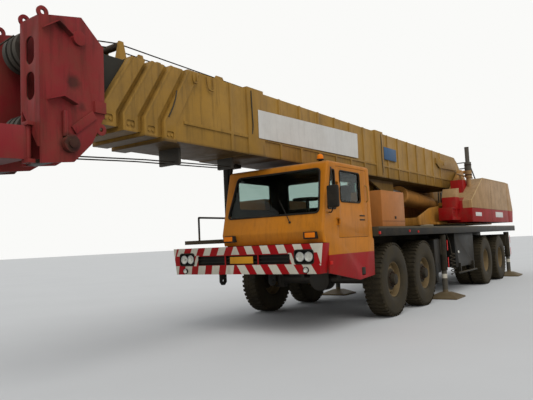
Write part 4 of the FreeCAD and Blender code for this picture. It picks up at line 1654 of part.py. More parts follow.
def make_mirrors():
    """Left mirror on its bent arm."""
    arm = fused("mirror_arm", [
        bar("arm_out", "Y", "mirror_arm_radius", "mirror_root_x", "cab_left_y + fit", "mirror_mount_z",
            "mirror_y - cab_left_y - fit"),
        bar("arm_fore", "X", "mirror_arm_radius + 3", "mirror_root_x - 18", "mirror_y", "mirror_mount_z",
            "mirror_x - mirror_root_x + 34"),
        bar("arm_down", "Z", "mirror_arm_radius", "mirror_x", "mirror_y", "mirror_low_z",
            "mirror_mount_z - mirror_low_z"),
        box("mirror_head", "mirror_x - mirror_depth / 2", "mirror_y - mirror_width / 2", "mirror_low_z",
            "mirror_depth", "mirror_width", "mirror_height")])
    return node("mirror", arm)


def handrail():
    """Handrails on the lower deck beside the cab."""
    parts = []
    for label, x_rule in (("front", "rail_front_x"), ("rear", "rail_rear_x")):
        parts.append(bar(label + "_post", "Z", "rail_radius", x_rule, "- rail_y",
                         "fore_deck_top_z + fore_deck_sheet",
                         "rail_height"))
    parts.append(bar("rail_top", "X", "rail_radius", "rail_rear_x", "- rail_y",
                     "fore_deck_top_z + fore_deck_sheet + rail_height", "rail_front_x - rail_rear_x"))
    return parts


make_chassis()
make_deck()
make_engine_hood()
make_cabinets()
make_slew_ring()
make_axles()
make_bumper()
make_lamps()
make_mirrors()
make_driver_cab()
make_cab_interior()
make_steered_wheels()
make_twin_wheels()
make_outriggers()
make_slewing_frame()
make_tail()
make_winches()
make_operator_cab()
make_boom()
make_head()
make_sheaves()
make_stub()
make_lift_cylinder()

doc.recompute()
broken = [thing.Name for thing in doc.Objects if "Invalid" in thing.State or "Error" in thing.State]
if broken:
    raise RuntimeError("these objects failed: " + ", ".join(broken))
os.makedirs("parts", exist_ok=True)
for thing in NODES:
    if thing.Shape.isNull() or not thing.Shape.isValid():
        raise RuntimeError("no sound shape in " + thing.Label)
for thing in NODES:
    thing.Shape.exportStep("parts/" + thing.Label + ".step")
print(len(NODES), "nodes")
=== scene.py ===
"""Finish of a four-axle mobile crane: paint, wear, glass, rubber and the small parts its frame leaves out.

Everything is in metres, X forward, Y to the vehicle's left, Z up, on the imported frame's own origin.
"""
import json
import math

import bmesh
import bpy
from mathutils import Matrix, Vector


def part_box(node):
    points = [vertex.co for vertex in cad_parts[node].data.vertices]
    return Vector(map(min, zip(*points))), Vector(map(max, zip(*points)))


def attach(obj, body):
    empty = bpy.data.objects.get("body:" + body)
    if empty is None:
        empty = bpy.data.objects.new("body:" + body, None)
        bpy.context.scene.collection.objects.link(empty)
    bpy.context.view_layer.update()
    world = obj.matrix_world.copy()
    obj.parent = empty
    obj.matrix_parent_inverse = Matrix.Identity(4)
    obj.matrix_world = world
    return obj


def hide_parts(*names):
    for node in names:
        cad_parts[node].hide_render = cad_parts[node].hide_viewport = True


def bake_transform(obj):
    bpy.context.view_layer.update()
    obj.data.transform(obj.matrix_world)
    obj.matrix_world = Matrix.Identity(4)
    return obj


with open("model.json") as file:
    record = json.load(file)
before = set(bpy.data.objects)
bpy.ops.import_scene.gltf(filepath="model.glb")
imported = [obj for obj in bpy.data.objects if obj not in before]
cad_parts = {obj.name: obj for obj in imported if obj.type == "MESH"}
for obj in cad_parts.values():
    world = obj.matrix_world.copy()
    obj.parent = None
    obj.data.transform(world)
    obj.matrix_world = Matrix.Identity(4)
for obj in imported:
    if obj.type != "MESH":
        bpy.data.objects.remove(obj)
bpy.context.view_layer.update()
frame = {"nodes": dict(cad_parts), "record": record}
NODES = frame["nodes"]
JOINTS = {joint["name"]: joint for joint in frame["record"]["behaviour"]["joints"]}

# Driving places, read from the frame
AXLE_X, WHEEL_Y = JOINTS["spin_front_left"]["pos_m"][:2]
TYRE_LOW, TYRE_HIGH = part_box("tyre_front_left")
TYRE_R = TYRE_HIGH[2] / 2
TYRE_W = TYRE_HIGH[1] - TYRE_LOW[1]
CAB_LOW, CAB_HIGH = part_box("cab_shell")
OPERATOR_LOW, OPERATOR_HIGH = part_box("operator_cab")
SECTION_FLOOR_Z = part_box("section_5")[0][2]
BUMPER_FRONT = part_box("bumper")[1][0]
DECK_SIDE_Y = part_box("deck")[1][1]
HEAD_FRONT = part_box("boom_head")[1][0]

# The axles from the front
STEERED_AXLES = ("front", "second")
AXLES = STEERED_AXLES + ("third", "fourth")

# Places that paint and trim share; the windscreen's face passes SCREEN_X at SCREEN_Z and leans back
CAB_SIDE_Y = 1.530
CAB_WALL = 0.022
SCREEN_X = 2.525
SCREEN_Z = 1.88
SCREEN_LEAN = 0.2536
OPERATOR_SIDE_Y = -1.500
HOUSING_SIDE_Y = 1.450
HOUSING_BAND_Z = 2.200
LAMP_PANEL_Y = (1.045, 1.385)
LAMP_PANEL_Z = (1.130, 1.340)


def x_of(distance):
    """The frame's X of a distance measured forward from the front axle."""
    return AXLE_X + distance


def at(ahead, across, level):
    """The frame's own place of a spot given forward of the front axle, to the left and up."""
    return Vector((x_of(ahead), across, level))


def path_of(*spots):
    """The frame's own places of several such spots."""
    return [at(*spot) for spot in spots]


# Paint and finish colours
def linear(red, green, blue):
    """A colour from 0 to 255 as it looks, turned into the linear value that a shader takes."""
    def channel(value):
        share = value / 255
        return share / 12.92 if share <= 0.04045 else ((share + 0.055) / 1.055) ** 2.4
    return (channel(red), channel(green), channel(blue), 1.0)


OCHRE = linear(150, 112, 46)
CAB_YELLOW = linear(186, 112, 16)
CABINET_TAN = linear(170, 106, 52)
TAN = linear(166, 130, 88)
SIGNAL_RED = linear(150, 8, 16)
HEAD_RED = linear(126, 34, 38)
WHITE = linear(196, 190, 172)
CHARCOAL = linear(30, 30, 27)
FLAT_BLACK = linear(22, 22, 20)
CAB_LINING = linear(44, 41, 38)
DECK_GREY = linear(70, 62, 47)
DIRT = linear(88, 74, 52)
RUST = linear(84, 50, 30)
# A near-black that stands for soot and also for painted shade where paint is darkened.
SOOT_AND_SHADE = linear(28, 24, 20)
DUST = linear(112, 98, 74)
BLEACH = linear(186, 160, 112)


# Node building blocks
def add(tree, kind, inputs, **settings):
    """A new node; an input's value is a number, a colour or another node's socket."""
    made = tree.nodes.new(kind)
    for key, value in settings.items():
        setattr(made, key, value)
    for key, value in inputs.items():
        if isinstance(value, bpy.types.NodeSocket):
            tree.links.new(value, made.inputs[key])
        else:
            made.inputs[key].default_value = value
    return made


def calc(tree, operation, first, second=0.0):
    return add(tree, "ShaderNodeMath", {0: first, 1: second}, operation=operation).outputs[0]


def chained(operation):
    """A function that joins any number of values by one operation."""
    def join(tree, first, *others):
        for value in others:
            first = calc(tree, operation, first, value)
        return first
    return join


total = chained("ADD")
product = chained("MULTIPLY")
largest = chained("MAXIMUM")


def size_of(tree, value):
    """The value without its sign."""
    return calc(tree, "ABSOLUTE", value)


def reach_of(tree, first, second):
    """The length of the long side over two short ones."""
    return calc(tree, "SQRT", total(tree, product(tree, first, first), product(tree, second, second)))


def step_at(tree, value, edge, soft=0.004):
    """0 below the edge and 1 above it, with a short soft stretch."""
    made = add(tree, "ShaderNodeMapRange", {"Value": value, "From Min": edge - soft,
                                            "From Max": edge + soft})
    return made.outputs["Result"]


def below(tree, value, edge, soft=0.004):
    return calc(tree, "SUBTRACT", 1.0, step_at(tree, value, edge, soft))


def between(tree, value, low, high, soft=0.004):
    """1 where the value lies between two edges."""
    return product(tree, step_at(tree, value, low, soft), below(tree, value, high, soft))


def mixed(tree, share, first, second):
    """The first colour, going over to the second where the share is 1."""
    return add(tree, "ShaderNodeMix", {0: share, 6: first, 7: second}, data_type="RGBA").outputs[2]


def noise(tree, place, scale, detail=3.0, roughness=0.55):
    made = add(tree, "ShaderNodeTexNoise", {"Vector": place, "Scale": scale, "Detail": detail,
                                            "Roughness": roughness})
    return made.outputs["Fac"]


def object_place(tree):
    """A point on the object at rest, which no joint moves."""
    return tree.nodes.new("ShaderNodeTexCoord").outputs["Object"]


def coordinates(tree):
    """The sockets X, Y and Z of that point."""
    return add(tree, "ShaderNodeSeparateXYZ", {0: object_place(tree)}).outputs


def new_group(name, inputs):
    """A shader group with named inputs (name, kind, value) that puts out colour, roughness and height."""
    group = bpy.data.node_groups.new(name, "ShaderNodeTree")
    for label, kind, value in inputs:
        socket = group.interface.new_socket(name=label, in_out="INPUT", socket_type="NodeSocket" + kind)
        socket.default_value = value
    for label, kind in (("Color", "Color"), ("Roughness", "Float"), ("Height", "Float")):
        group.interface.new_socket(name=label, in_out="OUTPUT", socket_type="NodeSocket" + kind)
    return group, group.nodes.new("NodeGroupInput").outputs, group.nodes.new("NodeGroupOutput").inputs


def weathered_and_shaded_paint_group():
    """Sun-faded paint with dirt in blotches, dark runs down the sides, chips to bare rust, top dust and
    painted shade on faces that look down.
    """
    group, given, result = new_group("Weathered paint", [
        ("Paint", "Color", OCHRE), ("Dirt", "Color", DIRT),
        ("Fading", "Float", 0.4), ("Dirt amount", "Float", 0.35), ("Runs", "Float", 0.3),
        ("Chips", "Float", 0.25), ("Dust", "Float", 0.3)])
    place = object_place(group)
    broad = noise(group, place, 0.9, 4.0)
    fine = noise(group, place, 9.0, 6.0, 0.65)
    specks = noise(group, place, 38.0, 3.0)
    clouds = noise(group, place, 2.6, 8.0, 0.7)
    drawn_down = add(group, "ShaderNodeMapping", {"Vector": place, "Scale": (7.0, 7.0, 0.55)})
    streaks = noise(group, drawn_down.outputs["Vector"], 1.6, 5.0, 0.7)
    normal = group.nodes.new("ShaderNodeNewGeometry").outputs["Normal"]
    facing = add(group, "ShaderNodeSeparateXYZ", {0: normal}).outputs["Z"]

    light = add(group, "ShaderNodeRGBToBW", {"Color": given["Paint"]}).outputs["Val"]
    paleness = product(group, calc(group, "MINIMUM", product(group, light, 6.0), 1.0), 0.18)
    bleached = mixed(group, paleness, given["Paint"], BLEACH)
    fade = product(group, step_at(group, broad, 0.5, 0.16), given["Fading"])
    runs = product(group, step_at(group, streaks, 0.6, 0.1), given["Runs"])
    blotch = product(group, step_at(group, clouds, 0.56, 0.14), given["Dirt amount"])
    chip_field = total(group, product(group, fine, 0.6), product(group, specks, 0.4))
    chips = product(group, step_at(group, chip_field, 0.655, 0.012), given["Chips"])
    top = product(group, step_at(group, facing, 0.55, 0.3), given["Dust"],
                  total(group, 0.45, product(group, fine, 0.8)))
    # Faces that look down are darkened with painted shade.
    under = product(group, below(group, facing, -0.6, 0.25), 0.6)

    colour = given["Paint"]
    for share, layer in ((fade, bleached), (runs, SOOT_AND_SHADE), (blotch, given["Dirt"]), (chips, RUST),
                         (top, DUST), (under, SOOT_AND_SHADE)):
        colour = mixed(group, share, colour, layer)
    rough = total(group, 0.38, product(group, fine, 0.16), product(group, blotch, 0.35),
                  product(group, top, 0.4))
    height = calc(group, "SUBTRACT", product(group, fine, 0.25), product(group, chips, 0.7))
    group.links.new(colour, result["Color"])
    group.links.new(calc(group, "MINIMUM", rough, 0.95), result["Roughness"])
    group.links.new(height, result["Height"])
    return group


def dusty_surface_group():
    """A plain colour under a film of road dust, for rubber, steel and plastics."""
    group, given, result = new_group("Dusty surface", [
        ("Base", "Color", CHARCOAL), ("Film", "Color", DIRT), ("Film amount", "Float", 0.4),
        ("Grain", "Float", 30.0)])
    place = object_place(group)
    grain = noise(group, place, given["Grain"], 4.0, 0.6)
    cloud = noise(group, place, 3.2, 6.0, 0.65)
    film_field = total(group, product(group, cloud, 0.75), product(group, grain, 0.25))
    film = product(group, step_at(group, film_field, 0.47, 0.16), given["Film amount"])
    group.links.new(mixed(group, film, given["Base"], given["Film"]), result["Color"])
    group.links.new(total(group, 0.5, product(group, film, 0.4)), result["Roughness"])
    group.links.new(grain, result["Height"])
    return group


WEATHERED_AND_SHADED = weathered_and_shaded_paint_group()
DUSTY = dusty_surface_group()


def new_material(name):
    """A material and its surface shader."""
    material = bpy.data.materials.new(name)
    material.use_nodes = True
    return material, material.node_tree.nodes["Principled BSDF"]


def set_values(shader, values):
    for key, value in values.items():
        shader.inputs[key].default_value = value


def layered(name, group, values, zoned, bump, distance):
    """A material whose colour, roughness and relief come from a shader group.

    zoned is None or an input's name and a function that gives that input a colour over the surface.
    """
    material, shader = new_material(name)
    tree = material.node_tree
    layer = add(tree, "ShaderNodeGroup", values, node_tree=group)
    if zoned:
        label, zones = zoned
        tree.links.new(zones(tree), layer.inputs[label])
    relief = add(tree, "ShaderNodeBump", {"Height": layer.outputs["Height"], "Strength": bump,
                                          "Distance": distance})
    tree.links.new(layer.outputs["Color"], shader.inputs["Base Color"])
    tree.links.new(layer.outputs["Roughness"], shader.inputs["Roughness"])
    tree.links.new(relief.outputs["Normal"], shader.inputs["Normal"])
    return material, shader


def paint(name, colour, fading=0.4, dirt=0.35, runs=0.3, chips=0.25, dust=0.3, zones=None, coat=0.06):
    values = {"Paint": colour, "Dirt": DIRT, "Fading": fading, "Dirt amount": dirt, "Runs": runs,
              "Chips": chips, "Dust": dust}
    material, shader = layered(name, WEATHERED_AND_SHADED, values, zones and ("Paint", zones), 0.35, 0.004)
    set_values(shader, {"Coat Weight": coat, "Coat Roughness": 0.35, "Specular IOR Level": 0.07})
    return material


def dusty(name, base, film=DIRT, amount=0.4, grain=30.0, metal=0.0, bump=0.3, zones=None):
    values = {"Base": base, "Film": film, "Film amount": amount, "Grain": grain}
    material, shader = layered(name, DUSTY, values, zones and ("Base", zones), bump, 0.003)
    set_values(shader, {"Metallic": metal, "Specular IOR Level": 0.08 if metal < 0.5 else 0.5})
    return material


def glass(name, tint, roughness):
    material, shader = new_material(name)
    set_values(shader, {"Base Color": tint, "Roughness": roughness, "Transmission Weight": 1.0, "IOR": 1.2})
    return material


# Colour zones: each gives a paint or a surface its colour over the object at rest
def leaning(tree, run, height, level, lean):
    """A coordinate that leans with height, true at one level."""
    return total(tree, run, product(tree, calc(tree, "SUBTRACT", height, level), lean))


def boom_zones(tree):
    """Ochre boom with painted shade darkening a band along its bottom, and dark rope rollers on top."""
    spots = coordinates(tree)
    shade_from, shade_to = 2.81, SECTION_FLOOR_Z - 0.09
    roller_low, roller_half = 3.945, 0.149
    # The band along the boom's bottom is painted dark brown as painted shade.
    underside = product(tree, between(tree, spots["Z"], shade_from, shade_to, 0.02), 0.7)
    rollers = product(tree, step_at(tree, spots["Z"], roller_low, 0.002),
                      below(tree, size_of(tree, spots["Y"]), roller_half, 0.001))
    return mixed(tree, largest(tree, underside, rollers), OCHRE, linear(58, 46, 34))


def cab_zones(tree):
    """Yellow cab over a red skirt, and dark lining inside the shell."""
    spots = coordinates(tree)
    skirt_top = 1.245
    rear, floor, sill, roof = CAB_LOW[0] + 0.03, 1.47, 1.62, CAB_HIGH[2] - 0.02
    coat = mixed(tree, below(tree, spots["Z"], skirt_top), CAB_YELLOW, SIGNAL_RED)
    upright = leaning(tree, spots["X"], spots["Z"], SCREEN_Z, SCREEN_LEAN)
    upper = product(tree, between(tree, upright, rear, x_of(SCREEN_X) - CAB_WALL, 0.003),
                    between(tree, spots["Z"], sill, roof))
    lower = product(tree, between(tree, spots["X"], rear, x_of(2.49), 0.003),
                    between(tree, spots["Z"], floor, sill, 0.001))
    across = between(tree, spots["Y"], CAB_LOW[1] + CAB_WALL, CAB_SIDE_Y - CAB_WALL, 0.002)
    return mixed(tree, product(tree, across, largest(tree, upper, lower)), coat, CAB_LINING)


def operator_zones(tree):
    """The crane operator's cab: yellow outside, dark lining inside."""
    spots = coordinates(tree)
    low, high = OPERATOR_LOW, OPERATOR_HIGH
    inside = product(tree,
                     between(tree, spots["X"], low[0] + CAB_WALL, high[0] - 0.05, 0.002),
                     between(tree, spots["Y"], OPERATOR_SIDE_Y + CAB_WALL, high[1] - CAB_WALL, 0.002),
                     between(tree, spots["Z"], low[2] + CAB_WALL, high[2] - CAB_WALL, 0.002))
    return mixed(tree, inside, CAB_YELLOW, CAB_LINING)


def housing_zones(tree):
    """Tan sides above a red band, red panels by the boom's foot and a dark exhaust."""
    spots = coordinates(tree)
    band = below(tree, spots["Z"], HOUSING_BAND_Z)
    inner = product(tree, between(tree, spots["Y"], 0.5, 1.2), below(tree, spots["Z"], 2.512))
    upper = product(tree, between(tree, spots["Y"], 0.7, 1.096), below(tree, spots["Z"], 3.066, 0.002),
                    between(tree, spots["X"], x_of(-7.446), x_of(-6.594), 0.002))
    coat = mixed(tree, largest(tree, band, inner, upper), TAN, SIGNAL_RED)
    pipe_end = product(tree, step_at(tree, spots["Z"], 3.345, 0.002), step_at(tree, spots["Y"], 0.95))
    return mixed(tree, pipe_end, coat, linear(78, 74, 68))


def deck_zones(tree):
    """Dusty deck with a dark side under its rim, and black rails."""
    spots = coordinates(tree)
    rim_low, rails_low = 1.64, 1.70
    side = product(tree, step_at(tree, size_of(tree, spots["Y"]), DECK_SIDE_Y - 0.004, 0.002),
                   below(tree, spots["Z"], rim_low))
    rails = step_at(tree, spots["Z"], rails_low)
    return mixed(tree, largest(tree, side, rails), DECK_GREY, linear(23, 22, 19))


def jack_zones(tree):
    """Dusty square float, grey rod and a white block round it."""
    height = coordinates(tree)["Z"]
    float_top, block_low, block_high = 0.2, 0.46, 0.56
    rod = mixed(tree, step_at(tree, height, float_top), linear(98, 84, 62), linear(70, 68, 62))
    return mixed(tree, between(tree, height, block_low, block_high, 0.003), rod, WHITE)


def bars_along(tree, run, shift, wide):
    """1 on the white ones of a row of bars."""
    period = 0.315
    return below(tree, calc(tree, "FLOORED_MODULO", total(tree, run, shift), period), wide, 0.002)


def bumper_zones(tree):
    """Slanted bars along the upper and lower edges, leaning away from the middle, with wedges between."""
    spots = coordinates(tree)
    height = spots["Z"]
    middle_y = -0.12
    upper_low, lower_high, foot = 1.298, 1.125, 0.965
    grille_low, grille_high, grille_half = 1.128, 1.290, 0.962
    side = size_of(tree, spots["Y"])
    from_middle = size_of(tree, total(tree, spots["Y"], -middle_y))
    left = step_at(tree, spots["Y"], middle_y, 0.001)
    upper = product(tree, step_at(tree, height, upper_low, 0.002),
                    bars_along(tree, leaning(tree, from_middle, height, 1.43, 0.45), 0.125, 0.155))
    lean = total(tree, product(tree, left, 0.45), 0.2)
    lower = product(tree, below(tree, height, lower_high, 0.002),
                    bars_along(tree, leaning(tree, from_middle, height, 1.12, lean), -0.03, 0.165))
    wedge = product(tree, between(tree, leaning(tree, side, height, 1.2, 0.4), 0.965, 1.03, 0.002),
                    between(tree, height, 1.12, 1.3, 0.002))
    end = step_at(tree, total(tree, leaning(tree, side, height, 0.99, 0.3), product(tree, left, 0.05)),
                  1.595, 0.003)
    face = step_at(tree, spots["X"], BUMPER_FRONT - 0.020, 0.002)
    coat = mixed(tree, product(tree, largest(tree, upper, lower, wedge, end), face), SIGNAL_RED, WHITE)
    grille = product(tree, between(tree, height, grille_low, grille_high, 0.001),
                     below(tree, side, grille_half, 0.001))
    panel = product(tree, between(tree, height, *LAMP_PANEL_Z, 0.001),
                    between(tree, side, *LAMP_PANEL_Y, 0.001))
    behind = below(tree, spots["X"], BUMPER_FRONT - 0.010, 0.002)
    dark = largest(tree, product(tree, largest(tree, grille, panel), behind),
                   below(tree, height, foot, 0.002))
    return mixed(tree, dark, coat, FLAT_BLACK)


# Dark patches on the boom head, oily dirt and painted shade in one: forward of the front axle, height,
# radius and strength
HEAD_STAINS_AND_SHADE = ((6.27, 2.62, 0.100, 0.85), (6.20, 3.30, 0.075, 0.7), (6.36, 3.90, 0.060, 0.6),
               (6.10, 3.05, 0.040, 0.5))


def head_zones(tree):
    """Red head, painted black between its cheeks where the ropes run as painted shade, and dark patches
    round its motor and brackets that are part oily dirt and part painted shade.
    """
    spots = coordinates(tree)
    # Between the cheeks the red is painted black as painted shade.
    shaded_hollow = product(tree, between(tree, size_of(tree, spots["Y"]), 0.264, 0.579, 0.002),
                     below(tree, spots["X"], HEAD_FRONT - 0.080, 0.002),
                     below(tree, spots["Z"], 3.97, 0.003))
    coat = mixed(tree, shaded_hollow, HEAD_RED, linear(30, 22, 20))
    ragged = product(tree, noise(tree, object_place(tree), 14.0), 0.09)
    # Each patch darkens the red with oily dirt and painted shade together.
    for ahead, level, radius, strength in HEAD_STAINS_AND_SHADE:
        reach = reach_of(tree, calc(tree, "SUBTRACT", spots["X"], x_of(ahead)),
                         calc(tree, "SUBTRACT", spots["Z"], level))
        stain_and_shade = product(tree, below(tree, total(tree, reach, ragged), radius + 0.05, 0.03), strength)
        coat = mixed(tree, stain_and_shade, coat, SOOT_AND_SHADE)
    return coat


def cabinet_zones(tree):
    """Tan cabinet above the deck, black tanks and guards below it."""
    deck_top = 1.66
    return mixed(tree, below(tree, coordinates(tree)["Z"], deck_top), CABINET_TAN, FLAT_BLACK)


def rim_zones(tree):
    """Dark oily hub, brown disc, a dusty tan ring and a dull edge, by the distance from the nearest axle."""
    spots = coordinates(tree)
    middles = [JOINTS["spin_%s_left" % axle]["pos_m"][0] for axle in AXLES]
    gaps = [size_of(tree, calc(tree, "SUBTRACT", spots["X"], middle)) for middle in middles]
    offset = gaps[0]
    for gap in gaps[1:]:
        offset = calc(tree, "MINIMUM", offset, gap)
    reach = reach_of(tree, offset, calc(tree, "SUBTRACT", spots["Z"], TYRE_R))
    coat = linear(36, 33, 29)
    for radius, soft, colour in ((0.185, 0.004, linear(66, 56, 42)), (0.205, 0.006, linear(126, 106, 74)),
                                 (0.318, 0.004, linear(88, 74, 54))):
        coat = mixed(tree, step_at(tree, reach, radius, soft), coat, colour)
    return coat


# Paints
OCHRE_PAINT = paint("Boom ochre", OCHRE, zones=boom_zones, dirt=0.3, runs=0.35)
PLAIN_OCHRE = paint("Plain ochre", OCHRE)
# The lift barrel's ochre is painted lighter than its own paint, as painted light against the shade that
# falls on it below the boom.
LIGHTENED_BARREL_PAINT = paint("Lift barrel ochre", linear(190, 130, 62), dirt=0.3)
CAB_PAINT = paint("Cab yellow", CAB_YELLOW, zones=cab_zones, dirt=0.22, runs=0.22,
                  coat=0.12)
OPERATOR_PAINT = paint("Operator cab yellow", CAB_YELLOW, zones=operator_zones, dirt=0.3)
CABINET_PAINT = paint("Cabinet tan", CABINET_TAN, zones=cabinet_zones, dirt=0.2, runs=0.15)
DECK_PAINT = paint("Dusty deck", DECK_GREY, zones=deck_zones, fading=0.3, dirt=0.25,
                   dust=0.6)
BUMPER_PAINT = paint("Barred bumper", SIGNAL_RED, zones=bumper_zones, fading=0.0, dirt=0.15,
                     runs=0.15)
HOUSING_PAINT = paint("Platform tan and red", TAN, zones=housing_zones)
HOUSING_EDGE = paint("Pale housing edge", linear(192, 160, 112), dirt=0.2)
YELLOW_PAINT = paint("Platform yellow", linear(170, 116, 44), dirt=0.4, runs=0.4)
WEIGHT_PAINT = paint("Counterweight paint", TAN, zones=housing_zones, dirt=0.4)
RED_PAINT = paint("Weathered red", HEAD_RED, zones=head_zones, fading=0.6, dirt=0.3, runs=0.4,
                  chips=0.35)
JACK_PAINT = paint("Jack and float", WHITE, zones=jack_zones, dirt=0.5, chips=0.3)
SIGN_WHITE = paint("Blank sign", linear(206, 204, 198), dirt=0.12, runs=0.12, chips=0.1)
PLATE_BLUE = paint("Blank blue plate", linear(48, 84, 118), dirt=0.2, chips=0.1)
PLATE_YELLOW = paint("Blank number plate", linear(200, 138, 26), dirt=0.15)

# Rubber, steel, plastics and lamps
CHASSIS = dusty("Chassis black", CHARCOAL, amount=0.35)
INNER_BLACK = dusty("Greased section", linear(44, 44, 40), amount=0.12)
STEEL = dusty("Greasy steel", linear(62, 60, 56), amount=0.3, metal=0.5)
HUB_STEEL = dusty("Oily hub", linear(40, 36, 32), RUST, metal=0.3)
ROPE_STEEL = dusty("Greasy rope", linear(44, 40, 36), amount=0.3, grain=200.0, metal=0.4)
CHROME = dusty("Polished rod", linear(190, 190, 186), amount=0.08, metal=1.0, bump=0.05)
RUBBER = dusty("Tyre rubber", linear(34, 31, 25), linear(78, 68, 49), 0.55, 60.0)
RIM_PAINT = dusty("Dusty rim", linear(122, 98, 68), linear(70, 60, 43), 0.45, zones=rim_zones)
BLACK_TRIM = dusty("Black trim", linear(24, 24, 24), DUST, 0.15)
CUSHION_VINYL = dusty("Cushion vinyl", linear(64, 48, 36), DUST, 0.2, 90.0)
DASHBOARD = dusty("Dashboard plastic", linear(40, 42, 43), DUST, 0.2, 60.0)
HOSE_RUBBER = dusty("Hose rubber", linear(42, 40, 38), DUST, 0.4, 60.0)
FADED_SLING = dusty("Faded sling", linear(150, 140, 118), grain=90.0)
REFLECTOR = dusty("Lamp reflector", linear(232, 232, 228), DUST, 0.03, metal=1.0, bump=0.02)
AMBER = dusty("Amber lens", linear(226, 120, 20), DUST, 0.05, bump=0.05)
RED_LENS = dusty("Red lens", linear(190, 24, 22), DUST, 0.1, bump=0.05)
WHITE_LENS = dusty("White lens", linear(226, 222, 208), DUST, 0.1, bump=0.05)
CLEAR_GLASS = glass("Cab glass", linear(190, 205, 200), 0.04)
LAMP_GLASS = glass("Lamp lens", linear(240, 240, 236), 0.02)


# Pieces and mesh building blocks
def dressed(name, mesh, material):
    """A piece at the origin with its place in its mesh, in one material."""
    piece = bpy.data.objects.new(name, mesh)
    bpy.context.scene.collection.objects.link(piece)
    mesh.materials.clear()
    mesh.materials.append(material)
    return piece


def finished(name, mesh, material, body):
    """A piece that rides on a body."""
    piece = dressed(name, mesh, material)
    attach(piece, body)
    return piece


def assembled(name, forms, material, body):
    """A piece made of bmeshes, which rides on a body."""
    return finished(name, mesh_from(joined(forms)), material, body)


def bent_between(name, mesh, material):
    """A piece with its place baked into its mesh, attached to no body."""
    piece = dressed(name, mesh, material)
    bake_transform(piece)


def shade(mesh):
    """Soft shading where faces meet at a low angle."""
    mesh.shade_smooth()
    mesh.set_sharp_from_angle(angle=math.radians(35))


def mesh_from(form):
    bmesh.ops.recalc_face_normals(form, faces=form.faces)
    mesh = bpy.data.meshes.new("form")
    form.to_mesh(mesh)
    form.free()
    shade(mesh)
    return mesh


def baked(holder):
    """The evaluated mesh of an object, which is then taken away."""
    bpy.context.view_layer.update()
    depsgraph = bpy.context.evaluated_depsgraph_get()
    mesh = bpy.data.meshes.new_from_object(holder.evaluated_get(depsgraph), depsgraph=depsgraph)
    bpy.data.objects.remove(holder)
    return mesh


def held(data):
    """An object in the scene for a modifier or a curve that is baked next."""
    holder = bpy.data.objects.new("holder", data)
    bpy.context.scene.collection.objects.link(holder)
    return holder


def bevelled(mesh, width):
    """The mesh with its sharp edges rounded."""
    holder = held(mesh)
    rounding = holder.modifiers.new("Edges", "BEVEL")
    rounding.width = width
    rounding.segments = 2
    rounding.limit_method = "ANGLE"
    rounding.angle_limit = math.radians(40)
    rounding.use_clamp_overlap = True
    return baked(holder)


def refined(node, material, body, width):
    """A merged copy of a CAD node with rounded edges and soft shading, which stands for the node."""
    form = bmesh.new()
    form.from_mesh(NODES[node].data)
    bmesh.ops.remove_doubles(form, verts=form.verts, dist=1e-5)
    bmesh.ops.dissolve_limit(form, angle_limit=math.radians(1.0), verts=form.verts, edges=form.edges,
                             delimit={"NORMAL"})
    mesh = bpy.data.meshes.new(node + "_finish")
    form.to_mesh(mesh)
    form.free()
    if width:
        mesh = bevelled(mesh, width)
    shade(mesh)
    piece = finished(node + "_finish", mesh, material, body)
    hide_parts(node)


def block(low, high):
    """A box between two corners, as a bmesh."""
    form = bmesh.new()
    bmesh.ops.create_cube(form, size=1.0)
    for point in form.verts:
        for axis in range(3):
            point.co[axis] = (low[axis] + high[axis]) / 2 + point.co[axis] * (high[axis] - low[axis])
    return form


def soft_block(low, high, width):
    """A box between two corners with its edges rounded, as a bmesh."""
    form = block(low, high)
    bmesh.ops.bevel(form, geom=form.edges[:], offset=width, segments=2, profile=0.6, affect="EDGES")
    return form


def lathe(profile, centre, axis, steps, closed=False):
    """A surface of revolution from (along, radius) points about a line through the centre.

    A closed profile makes a ring; the ends of an open one are capped.
    """
    form = bmesh.new()
    rings = []
    for along, radius in profile:
        ring = []
        for number in range(steps):
            angle = 2 * math.pi * number / steps
            spot = [radius * math.cos(angle), radius * math.sin(angle)]
            spot.insert("XYZ".index(axis), along)
            ring.append(form.verts.new(Vector(spot) + Vector(centre)))
        rings.append(ring)
    count = len(rings)
    for first in range(count if closed else count - 1):
        here, there = rings[first], rings[(first + 1) % count]
        for number in range(steps):
            beyond = (number + 1) % steps
            form.faces.new((here[number], here[beyond], there[beyond], there[number]))
    if not closed:
        form.faces.new(rings[0])
        form.faces.new(reversed(rings[-1]))
    bmesh.ops.remove_doubles(form, verts=form.verts, dist=1e-6)
    return form


def slab(outline, start, end):
    """A flat outline of (X, Z) points given depth along Y."""
    form = bmesh.new()
    sides = [[form.verts.new((ahead, depth, level)) for ahead, level in outline] for depth in (start, end)]
    form.faces.new(sides[0])
    form.faces.new(reversed(sides[1]))
    count = len(outline)
    for number in range(count):
        beyond = (number + 1) % count
        form.faces.new((sides[0][number], sides[1][number], sides[1][beyond], sides[0][beyond]))
    return form


def joined(forms):
    """Several bmeshes as one."""
    whole = bmesh.new()
    for form in forms:
        scratch = bpy.data.meshes.new("scratch")
        bmesh.ops.recalc_face_normals(form, faces=form.faces)
        form.to_mesh(scratch)
        form.free()
        whole.from_mesh(scratch)
        bpy.data.meshes.remove(scratch)
    return whole


